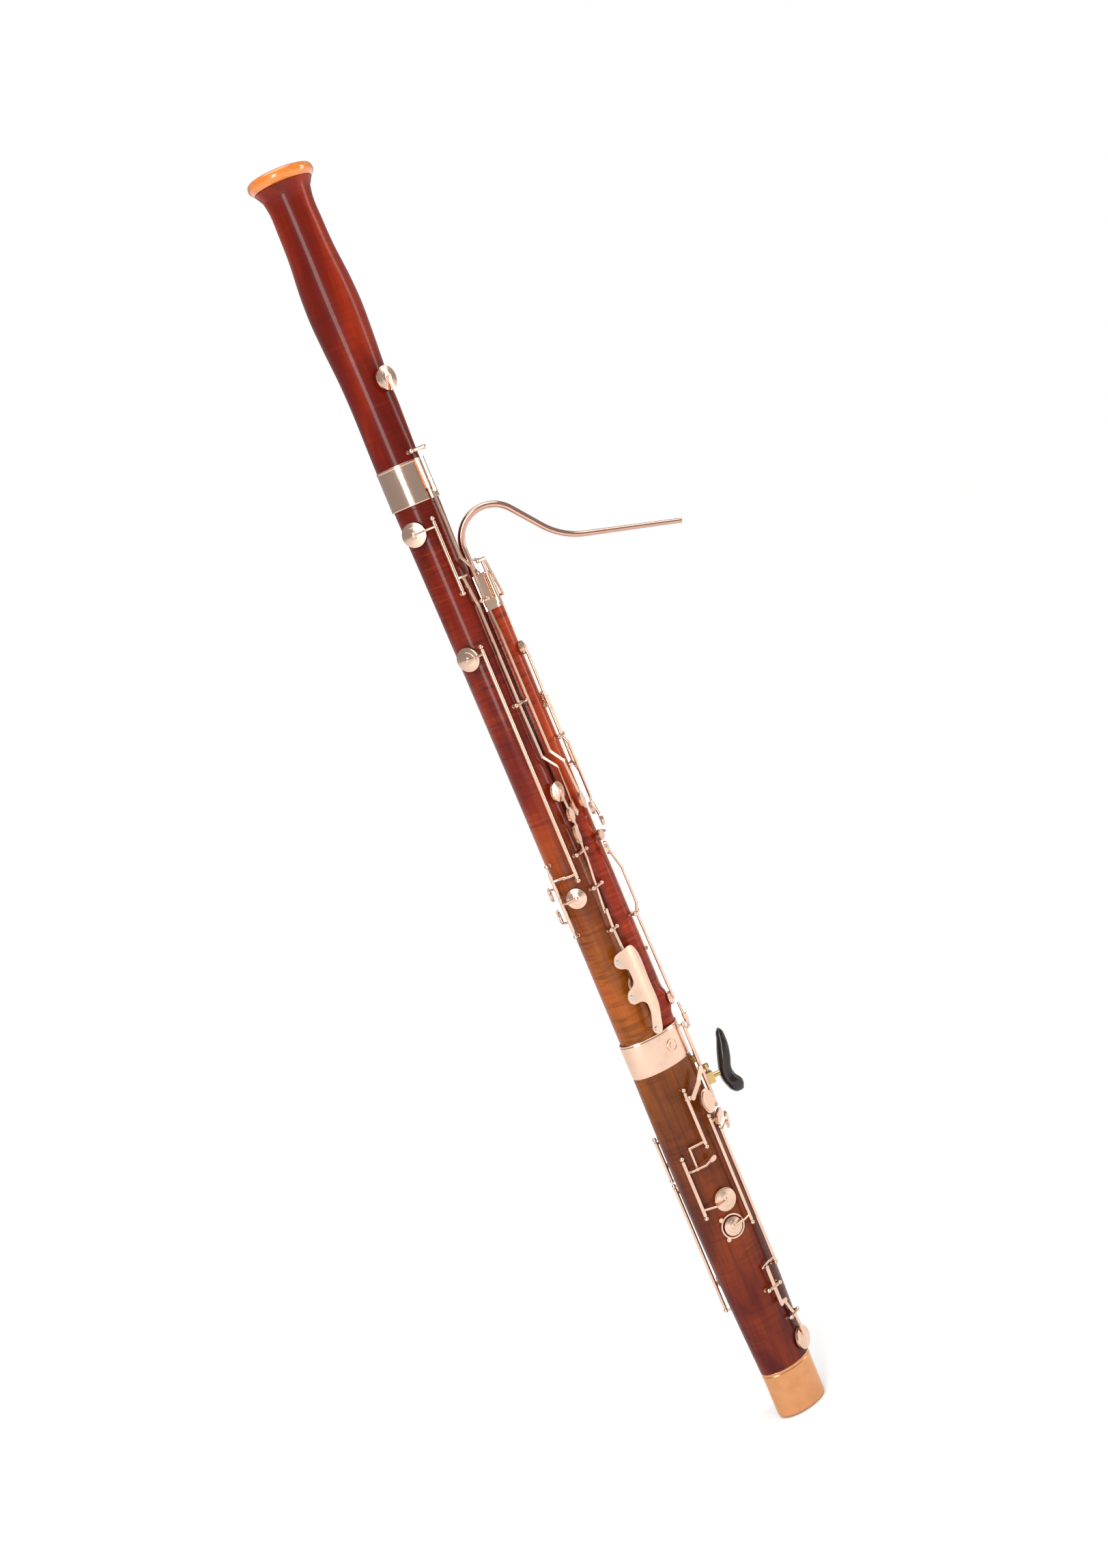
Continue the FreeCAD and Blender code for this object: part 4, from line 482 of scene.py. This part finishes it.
def make_bass_joint():
    """A slim turned stick that swells towards its top; its outline is closed along the bore."""
    stations = [(0, 20.03), (180, 20.03), (250, 20.1), (380, 20.9), (514, 22.03), (570, 23.0)]
    at = np.linspace(0, 570, 140)
    radius = through(stations, at)[:, 0]
    outer = np.column_stack([radius * MM, BAND_TOP + at * MM])
    head = rounded([(23.0 * MM, BELL_FOOT - 3.6 * MM, 0.4 * MM), (23.0 * MM, BELL_FOOT, 0.5 * MM),
                    (16.2 * MM, BELL_FOOT, 0.4 * MM)])
    bore_foot = BAND_TOP - 0.03
    bore = np.column_stack([np.linspace(16.0, 12.4, 12) * MM, np.linspace(BELL_FOOT - 0.01, bore_foot, 12)])
    foot = np.array([[15.8 * MM, bore_foot], [15.8 * MM, BAND_TOP - 0.0002], [19.6 * MM, BAND_TOP - 0.0001]])
    outline = np.concatenate([outer, head[:12], bore, foot])
    mesh_piece("bass_joint_skin", lathe(outline, BASS_X), grid_faces(len(outline), AROUND, True),
               material("bass_wood"), "body", ("bass_joint",))


def make_wing_joint(sizes):
    """Round stick with a finger-side lobe and a boss for the low pad, hollowed where it lies against
    the bass joint: at each angle the skin is the far one of stick, lobe and boss, softly blended,
    and never farther than the hollow's circle."""
    holes = BAND_TOP + np.array([330, 285, 235]) * MM
    count = 240
    at = (dense_near(np.linspace(BAND_TOP, WING_TOP, 220), holes) - BAND_TOP) / MM
    rows = len(at)
    turn = angles(count)
    height, angle = np.meshgrid(at, turn, indexing="ij")
    stick = np.full_like(height, 15.22)
    lobe_offset = 10.0
    swell = [(0, 0), (150, 5.0), (190, 13.0), (310, 13.0), (350, 5.0), (490, 0)]
    lobe_radius = through(swell, at)[:, 0][:, None]
    along = np.sin(angle) * lobe_offset
    inside = lobe_radius ** 2 - (np.cos(angle) * lobe_offset) ** 2
    lobe = np.where(inside > 0, along + np.sqrt(np.maximum(inside, 0)), 0)
    boss_turn = math.radians(-42)
    aside = np.angle(np.exp(1j * (angle - boss_turn)))
    boss = 15.0 + 3.0 * np.exp(-((height - 23) / 12.5) ** 4) * np.exp(-(aside / 0.52) ** 4)
    blend = 1.6
    skin = np.log(np.exp(stick * blend) + np.exp(lobe * blend) + np.exp(boss * blend)) / blend
    skin -= 0.43 * np.exp(-(np.maximum(skin - 16.0, 0)) ** 2)
    gap = (WING_X - BASS_X) / MM
    hollow = 20.6 + 2.6 * np.clip(height / 489.0, 0, 1)
    cosine = -np.cos(angle)
    reach = gap * cosine
    under = hollow ** 2 - (gap * np.sin(angle)) ** 2
    entry = np.where((under > 0) & (reach > 0), reach - np.sqrt(np.maximum(under, 0)), 99.0)
    skin = np.minimum(skin, entry)
    neck = height > (WING_SLEEVE_FOOT - BAND_TOP) / MM - 0.2
    skin = np.where(neck, np.minimum(skin, 14.4), skin)
    grid = np.stack([WING_X + skin * np.cos(angle) * MM, skin * np.sin(angle) * MM,
                     BAND_TOP + height * MM], axis=-1)
    sink_holes(grid, WING_X, holes, sizes)
    mesh_piece("wing_joint_skin", grid, capped(rows, count), material("wing_wood"), "body",
               ("wing_joint",), 50.0)


def make_boot(sizes):
    """Ovals through the boot's stations, closed at both ends, and the ribbed metal band above."""
    foot = (29.62, 18.62)
    belly = (34.93, 22.23)
    grow = np.subtract(belly, foot)
    stations = [(0, *foot), (65, *(foot + grow * 0.5)), (167.6, *(foot + grow * (0.96, 0.95))),
                (239.4, *belly), (342, 33.93, 21.83)]
    holes = (BAND_FOOT - 40 * MM, BAND_FOOT - 78 * MM)
    at = (dense_near(CAP_TOP + np.linspace(0, 342, 120) * MM, holes) - CAP_TOP) / MM
    halves = through(stations, at)
    grid = oval_rows(halves[:, 0] * MM, halves[:, 1] * MM, CAP_TOP + at * MM, 2 * AROUND)
    sink_holes(grid, WING_X - 4 * MM, holes, sizes)
    mesh_piece("boot_skin", grid, capped(len(at), 2 * AROUND), material("boot_wood"), "body",
               ("boot_body",))
    tall = (BAND_TOP - BAND_FOOT) / MM
    rim = rounded([(0.8, 0.0, 0.2), (-0.1, 0.0, 0.3), (-0.1, 1.6, 0.5), (-0.45, 2.4, 0.4),
                   (-0.45, tall - 2.4, 0.4), (-0.1, tall - 1.6, 0.5), (-0.1, tall, 0.5), (1.2, tall, 0.3)])
    inward = rim[:, 0] - 0.05
    grid = oval_rows((33.9 - inward) * MM, (21.8 - inward) * MM, BAND_FOOT + rim[:, 1] * MM)
    mesh_piece("boot_band_skin", grid, grid_faces(len(rim), AROUND, True), material("silver"), "body",
               ("boot_band",))
    plate = oval_rows([33.4 * MM, 33.4 * MM], [21.3 * MM, 21.3 * MM],
                      [BAND_TOP - 2.4 * MM, BAND_TOP - 0.4 * MM])
    mesh_piece("boot_end_grain", plate, capped(2, AROUND), material("boot_wood"), "body")


def make_boot_cap():
    """Metal cap: rounded foot, straight sides, a raised bead at the seam and a rolled rim; the
    outline's offset is taken off the oval's two half widths."""
    top = CAP_TOP / MM
    rim = rounded([(28.0, 0.0, 0.1), (3.6, 0.0, 3.0), (0.75, 2.2, 2.0), (0.4, 6.0, 2.0), (0.25, 16.0, 0.5),
                   (0.2, top - 6.2, 0.6), (-0.25, top - 5.2, 0.5), (-0.25, top - 3.8, 0.5),
                   (0.2, top - 2.8, 0.5), (0.1, top - 1.0, 0.4), (0.3, top, 0.3), (1.0, top, 0.1)], 6)
    narrow = np.clip(rim[:, 0], None, 17.8)
    grid = oval_rows((29.6 - rim[:, 0]) * MM, (18.6 - narrow) * MM, rim[:, 1] * MM)
    mesh_piece("boot_cap_skin", grid, capped(len(rim), AROUND), material("copper"), "body",
               ("boot_cap",))


def bocal_line():
    """The bocal's centre line in its own upright plane: straight up, an arc over, straight down, a
    gentler arc back towards level, and a straight run to the tip."""
    foot, rise, hump, tail = 20.0 * MM, 27.0 * MM, 32.5 * MM, 70.0 * MM
    over, back = math.radians(141.0), math.radians(36.3)
    heading = math.pi / 2 - over
    up = np.linspace(0, foot + rise, 24)
    bend = np.linspace(0, over, 60)[1:]
    first = np.column_stack([hump - hump * np.cos(bend), foot + rise + hump * np.sin(bend)])
    down = np.linspace(0, 34.5 * MM, 12)[1:]
    second = first[-1] + down[:, None] * np.array([math.cos(heading), math.sin(heading)])
    swing = np.linspace(0, back, 24)[1:]
    third = second[-1] + np.column_stack([
        tail * (np.sin(heading + swing) - math.sin(heading)),
        -tail * (np.cos(heading + swing) - math.cos(heading))])
    out = np.array([math.cos(heading + back), math.sin(heading + back)])
    last = third[-1] + np.linspace(0, 95.9 * MM, 40)[1:, None] * out
    flat = np.concatenate([np.column_stack([np.zeros(24), up]), first, second, third, last])
    plane = math.radians(27.0)
    base = WING_TOP - foot
    out = flat[:, 0]
    return np.column_stack([WING_X + out * math.cos(plane), -out * math.sin(plane), base + flat[:, 1]])


def make_bocal(sizes):
    """The tube along that line: it tapers evenly to the tip, a soldered collar swells it above the
    socket, and the wall turns in at both ends."""
    path = bocal_line()
    run = np.concatenate([[0], np.cumsum(np.linalg.norm(np.diff(path, axis=0), axis=1))])
    share = run / run[-1]
    tip_from = 0.93
    radius = sizes.bocal_root + (sizes.bocal_tip - sizes.bocal_root) * np.clip(share / tip_from, 0, 1)
    collar = np.exp(-((run - 24.6 * MM) / (1.6 * MM)) ** 4) * 1.3 * MM
    radius = np.minimum(radius + collar, 5.3 * MM)
    outer = tube_rows(path, radius, 48)
    inner = tube_rows(path, radius - 0.6 * MM - collar, 48)[::-1]
    grid = np.concatenate([outer, inner])
    mesh_piece("bocal_skin", grid, grid_faces(len(grid), 48, True), material("bocal_metal"), "bocal",
               ("bocal_tube",))


def make_crutch():
    """Upright hand rest: ovals carried up a bowed line, wide at the palm and thin at both tips."""
    box_low, box_high = low("hand_rest_crutch"), high("hand_rest_crutch")
    face = np.array([math.sin(math.radians(75)), -math.cos(math.radians(75)), 0])
    side = np.array([-face[1], face[0], 0])
    centre = np.array([33.4, -3.9, 358.0]) * MM + face * 27.6 * MM
    stations = [(-26.5, 6.5, 1.2), (-25.4, 6.0, 4.6), (-23.0, 5.2, 6.9), (-16.0, 4.0, 9.4), (-7.0, 0.4, 7.9),
                (0.0, 0.0, 7.2), (11.0, 3.0, 7.5), (20.0, 5.5, 7.1), (32.0, 8.3, 5.2), (40.5, 9.2, 3.0),
                (43.0, 9.3, 1.0)]
    at = np.linspace(-26.5, 43.0, 90)
    shape = through(stations, at)
    half = np.maximum(shape[:, 1], 0.6)
    turn = angles(72)
    thick = np.minimum(half * 7.0 / 7.4, half * 0.95)
    cosine, sine = np.cos(turn), np.sin(turn)
    cosine = np.sign(cosine) * np.abs(cosine) ** 0.85
    sine = np.sign(sine) * np.abs(sine) ** 0.85
    grid = (centre + face * (shape[:, 0, None, None] * MM) + np.array([0, 0, 1]) * (at[:, None, None] * MM)
            + side * (half[:, None, None] * MM * cosine[None, :, None])
            + face * (thick[:, None, None] * MM * sine[None, :, None]))
    grid = np.clip(grid, box_low, box_high)
    mesh_piece("crutch_skin", grid, capped(len(at), 72), material("crutch_black"), "hand_rest",
               ("hand_rest_crutch",), 60.0)


def disc_axis(node):
    """Middle, outward direction and radius of a pad: the direction is the one its points vary least in."""
    mesh = NODES[node].data
    points = np.empty(len(mesh.vertices) * 3)
    mesh.vertices.foreach_get("co", points)
    points = np.unique(points.reshape(-1, 3).round(6), axis=0)
    centre = (points.min(0) + points.max(0)) / 2
    axis = np.linalg.svd(points - points.mean(0), full_matrices=False)[2][2]
    home = np.array([BASS_X if centre[2] > BAND_TOP else 0.0, 0, centre[2]])
    if np.dot(axis, centre - home) < 0:
        axis = -axis
    across = points - centre
    radius = np.linalg.norm(across - np.outer(across @ axis, axis), axis=1).max()
    return centre, axis, radius


PADS = {
    "low_b_flat_pad": "low_b_flat_key", "low_b_pad": "low_b_key", "c_sharp_pad": "c_sharp_key",
    "e_flat_pad": "e_flat_key", "low_c_pad": "low_c_key", "low_d_pad": "low_d_key",
    "b_flat_pad": "b_flat_pad_key", "f_sharp_pad": "thumb_f_sharp_key", "foot_pad": "foot_key"}


def make_cups(sizes):
    """Pad cups: a rolled rim, a shallow cone with a turned step, and a domed button in the middle;
    the outline goes round the pad's own axis."""
    for node, body in PADS.items():
        centre, axis, radius = disc_axis(node)
        radius = (radius + sizes.cup_rim) / MM
        outline = np.concatenate([
            rounded([(radius - 0.75, 1.15, 0.05), (radius + 0.05, 1.15, 0.3), (radius + 0.05, 2.9, 0.5),
                     (radius - 0.9, 3.5, 0.6), (radius * 0.62, 4.05, 0.4), (radius * 0.60, 4.35, 0.3),
                     (radius * 0.34, 4.85, 0.5), (2.6, 4.9, 0.3), (2.4, 5.9, 0.5), (1.2, 6.25, 0.4),
                     (0.05, 6.3, 0.01), (0.05, 2.8, 0.01), (radius - 0.9, 2.8, 0.05)])])
        turn = angles(72)
        across = np.cross(axis, [0, 0, 1.0])
        across /= np.linalg.norm(across)
        other = np.cross(axis, across)
        base = centre - axis * 1.3 * MM
        spoke = (across * np.cos(turn)[:, None] + other * np.sin(turn)[:, None])[None]
        grid = base + axis * outline[:, 1, None, None] * MM + spoke * outline[:, 0, None, None] * MM
        mesh_piece(node.replace("_pad", "_cup"), grid, grid_faces(len(outline), 72, True), material("silver"),
                   body)


def finish_cad_nodes():
    """Gives every part of the frame the finish that its record names."""
    slots = {entry["node"]: entry["material_slot"] for entry in frame["record"]["subparts"]}
    for name, node in NODES.items():
        node.data.materials.clear()
        node.data.materials.append(material(slots[name]))


# ------------------------------------------------------------------ stage

def area_light(name, spot, aim, wide, tall, power, colour=(1, 1, 1)):
    data = bpy.data.lights.new(name, "AREA")
    data.shape = "RECTANGLE"
    data.size, data.size_y = wide, tall
    data.energy = power
    data.color = colour
    light = bpy.data.objects.new(name, data)
    light.location = spot
    light.rotation_mode = "QUATERNION"
    light.rotation_quaternion = (Vector(aim) - Vector(spot)).to_track_quat("-Z", "Y")
    bpy.context.scene.collection.objects.link(light)


def make_stage(sizes):
    """A wide pale floor, soft light from both sides and above, and the camera."""
    turn = angles(96)
    ring = np.column_stack([14.0 * np.cos(turn), 14.0 * np.sin(turn), np.zeros(96)])
    paint = Paint("pale_floor", Specular_IOR_Level=0.0)
    paint.set("Base Color", paint.mix(paint.noise(3.0, 3.0), (0.86, 0.86, 0.86), (0.89, 0.89, 0.885)))
    paint.set("Roughness", 0.75 + paint.noise(8.0) * 0.1)
    mesh = bpy.data.meshes.new("floor")
    mesh.from_pydata(ring.tolist(), [], [list(range(96))])
    mesh.materials.append(paint.material)
    ground = bpy.data.objects.new("floor", mesh)
    bpy.context.scene.collection.objects.link(ground)
    world = bpy.data.worlds.new("studio_air")
    world.use_nodes = True
    tree = world.node_tree
    tree.nodes["Background"].inputs["Color"].default_value = (1.0, 1.0, 1.0, 1)
    path = tree.nodes.new("ShaderNodeLightPath")
    level = tree.nodes.new("ShaderNodeMapRange")
    level.inputs["To Min"].default_value = 0.42
    level.inputs["To Max"].default_value = 1.0
    tree.links.new(path.outputs["Is Camera Ray"], level.inputs["Value"])
    tree.links.new(level.outputs["Result"], tree.nodes["Background"].inputs["Strength"])
    bpy.context.scene.world = world
    bpy.context.scene.view_settings.view_transform = "Standard"
    sky = bpy.data.lights.new("even_top", "SUN")
    sky.energy, sky.angle = 2.3, math.radians(60)
    light = bpy.data.objects.new("even_top", sky)
    light.rotation_euler = (math.radians(8), math.radians(-6), 0)
    bpy.context.scene.collection.objects.link(light)
    area_light("key_left", (-2.2, -2.4, 1.6), (0, 0, 0.7), 0.9, 2.6, 66)
    area_light("fill_right", (2.4, -1.2, 1.2), (0, 0, 0.7), 0.6, 2.4, 26, (1.0, 0.93, 0.86))
    place_camera(sizes)


def place_camera(sizes):
    """The camera stands at an azimuth and a level distance from the object's axis, looks down a
    little and is rolled so that the bassoon leans."""
    turn = math.radians(27.0)
    pitch = math.radians(8.07)
    aside, tall = 0.009, 0.977
    roll = sizes.camera_roll
    heading = Vector((math.sin(turn), math.cos(turn), 0))
    right = Vector((math.cos(turn), -math.sin(turn), 0))
    up = Vector((0, 0, 1))
    forward = heading * math.cos(pitch) - up * math.sin(pitch)
    above = heading * math.sin(pitch) + up * math.cos(pitch)
    across = right * math.cos(roll) - above * math.sin(roll)
    over = above * math.cos(roll) + right * math.sin(roll)
    data = bpy.data.cameras.new("studio_camera")
    data.lens = 45.55
    data.sensor_width = 36.0
    data.clip_start, data.clip_end = 0.05, 60.0
    camera = bpy.data.objects.new("studio_camera", data)
    stand = heading * -sizes.camera_distance + right * aside + up * tall
    camera.matrix_world = Matrix.Translation(stand) @ Matrix((across, over, -forward)).transposed().to_4x4()
    bpy.context.scene.collection.objects.link(camera)
    bpy.context.scene.camera = camera


# ------------------------------------------------------------------ add-on

def colour_property(name, default):
    return FloatVectorProperty(name=name, description="Base colour of the " + name.lower(), default=default,
                               size=3, min=0.0, max=1.0, subtype="COLOR")


class BassoonColours(bpy.types.PropertyGroup):
    bell_foot: colour_property("Bell stain at its foot", (0.15, 0.006, 0.0015))
    bell_top: colour_property("Bell stain at its top", (0.24, 0.013, 0.002))
    bass_foot: colour_property("Bass joint stain at its foot", (0.33, 0.085, 0.006))
    bass_top: colour_property("Bass joint stain at its top", (0.21, 0.012, 0.0018))
    wing_foot: colour_property("Wing joint stain at its foot", (0.33, 0.024, 0.0025))
    wing_top: colour_property("Wing joint stain at its top", (0.38, 0.036, 0.003))
    boot_foot: colour_property("Boot stain at its foot", (0.105, 0.004, 0.001))
    boot_top: colour_property("Boot stain at its top", (0.31, 0.080, 0.006))
    ring: colour_property("Bell ring", (0.78, 0.21, 0.012))
    silver: colour_property("Silver plate", (0.74, 0.51, 0.39))
    copper: colour_property("Boot cap plate", (0.66, 0.31, 0.14))
    bocal: colour_property("Bocal plate", (0.58, 0.35, 0.27))
    brass: colour_property("Brass", (0.58, 0.40, 0.17))
    crutch: colour_property("Crutch", (0.010, 0.005, 0.004))


class BassoonSizes(bpy.types.PropertyGroup):
    bell_waist: FloatProperty(name="Bell waist radius", description="Radius of the bell above its sleeve",
                              default=23.8 * MM, min=0.018, max=0.030, unit="LENGTH")
    bocal_root: FloatProperty(name="Bocal root radius", description="Radius of the bocal at its foot",
                              default=3.9 * MM, min=0.003, max=0.005, unit="LENGTH")
    bocal_tip: FloatProperty(name="Bocal tip radius", description="Radius of the bocal at its tip",
                             default=2.45 * MM, min=0.002, max=0.004, unit="LENGTH")
    cup_rim: FloatProperty(name="Cup rim", description="How far a pad cup reaches past its pad",
                           default=0.7 * MM, min=0.0, max=0.002, unit="LENGTH")
    hole_radius: FloatProperty(name="Finger hole radius", description="Radius of a finger hole at its rim",
                               default=2.9 * MM, min=0.001, max=0.005, unit="LENGTH")
    hole_depth: FloatProperty(name="Finger hole depth", description="Depth of a finger hole's pit",
                              default=6.0 * MM, min=0.0, max=0.010, unit="LENGTH")
    camera_distance: FloatProperty(name="Camera distance", description="Level distance from camera to axis",
                                   default=1.946, min=0.5, max=10.0, unit="LENGTH")
    camera_roll: FloatProperty(name="Camera roll", description="How far the bassoon leans in the view",
                               default=math.radians(22.6), min=-math.pi, max=math.pi, subtype="ANGLE")


class BASSOON_OT_keywork(bpy.types.Operator):
    """Gives the keys, posts, rods and pads their plate, steel and leather"""

    bl_idname = "bassoon.keywork"
    bl_label = "Keywork finish"
    bl_options = {"REGISTER", "UNDO"}

    def execute(self, context):
        finish_cad_nodes()
        return {"FINISHED"}


class BASSOON_OT_bell(bpy.types.Operator):
    """Turns the bell, its amber ring and its sleeve"""

    bl_idname = "bassoon.bell"
    bl_label = "Bell"
    bl_options = {"REGISTER", "UNDO"}

    def execute(self, context):
        make_bell(context.scene.bassoon_sizes)
        return {"FINISHED"}


class BASSOON_OT_bass_joint(bpy.types.Operator):
    """Turns the bass joint"""

    bl_idname = "bassoon.bass_joint"
    bl_label = "Bass joint"
    bl_options = {"REGISTER", "UNDO"}

    def execute(self, context):
        make_bass_joint()
        return {"FINISHED"}


class BASSOON_OT_wing_joint(bpy.types.Operator):
    """Carves the wing joint and its finger holes"""

    bl_idname = "bassoon.wing_joint"
    bl_label = "Wing joint"
    bl_options = {"REGISTER", "UNDO"}

    def execute(self, context):
        make_wing_joint(context.scene.bassoon_sizes)
        return {"FINISHED"}


class BASSOON_OT_boot(bpy.types.Operator):
    """Shapes the boot and its band"""

    bl_idname = "bassoon.boot"
    bl_label = "Boot"
    bl_options = {"REGISTER", "UNDO"}

    def execute(self, context):
        make_boot(context.scene.bassoon_sizes)
        return {"FINISHED"}


class BASSOON_OT_boot_cap(bpy.types.Operator):
    """Spins the boot cap"""

    bl_idname = "bassoon.boot_cap"
    bl_label = "Boot cap"
    bl_options = {"REGISTER", "UNDO"}

    def execute(self, context):
        make_boot_cap()
        return {"FINISHED"}


class BASSOON_OT_bocal(bpy.types.Operator):
    """Bends the bocal"""

    bl_idname = "bassoon.bocal"
    bl_label = "Bocal"
    bl_options = {"REGISTER", "UNDO"}

    def execute(self, context):
        make_bocal(context.scene.bassoon_sizes)
        return {"FINISHED"}


class BASSOON_OT_crutch(bpy.types.Operator):
    """Shapes the hand rest's crutch"""

    bl_idname = "bassoon.crutch"
    bl_label = "Crutch"
    bl_options = {"REGISTER", "UNDO"}

    def execute(self, context):
        make_crutch()
        return {"FINISHED"}


class BASSOON_OT_cups(bpy.types.Operator):
    """Spins the pad cups"""

    bl_idname = "bassoon.cups"
    bl_label = "Pad cups"
    bl_options = {"REGISTER", "UNDO"}

    def execute(self, context):
        make_cups(context.scene.bassoon_sizes)
        return {"FINISHED"}


class BASSOON_OT_stage(bpy.types.Operator):
    """Sets the floor, the lights and the camera"""

    bl_idname = "bassoon.stage"
    bl_label = "Stage"
    bl_options = {"REGISTER", "UNDO"}

    def execute(self, context):
        make_stage(context.scene.bassoon_sizes)
        return {"FINISHED"}


OPERATORS = (
    BASSOON_OT_keywork, BASSOON_OT_bell, BASSOON_OT_bass_joint, BASSOON_OT_wing_joint,
    BASSOON_OT_boot, BASSOON_OT_boot_cap, BASSOON_OT_bocal, BASSOON_OT_crutch,
    BASSOON_OT_cups, BASSOON_OT_stage)


class BASSOON_PT_panel(bpy.types.Panel):
    """The bassoon's pieces and finishes"""

    bl_label = "Bassoon"
    bl_idname = "BASSOON_PT_panel"
    bl_space_type = "VIEW_3D"
    bl_region_type = "UI"
    bl_category = "Bassoon"

    def draw(self, context):
        for group in (context.scene.bassoon_sizes, context.scene.bassoon_colours):
            for name in group.bl_rna.properties.keys():
                if name not in ("rna_type", "name"):
                    self.layout.prop(group, name)
        for kind in OPERATORS:
            self.layout.operator(kind.bl_idname)


CLASSES = (BassoonColours, BassoonSizes) + OPERATORS + (BASSOON_PT_panel,)


def register():
    for kind in CLASSES:
        bpy.utils.register_class(kind)
    bpy.types.Scene.bassoon_colours = PointerProperty(type=BassoonColours)
    bpy.types.Scene.bassoon_sizes = PointerProperty(type=BassoonSizes)


def unregister():
    del bpy.types.Scene.bassoon_colours
    del bpy.types.Scene.bassoon_sizes
    for kind in reversed(CLASSES):
        bpy.utils.unregister_class(kind)


def main():
    register()
    for kind in OPERATORS:
        getattr(bpy.ops.bassoon, kind.bl_idname.split(".")[1])()


if __name__ == "__main__":
    main()
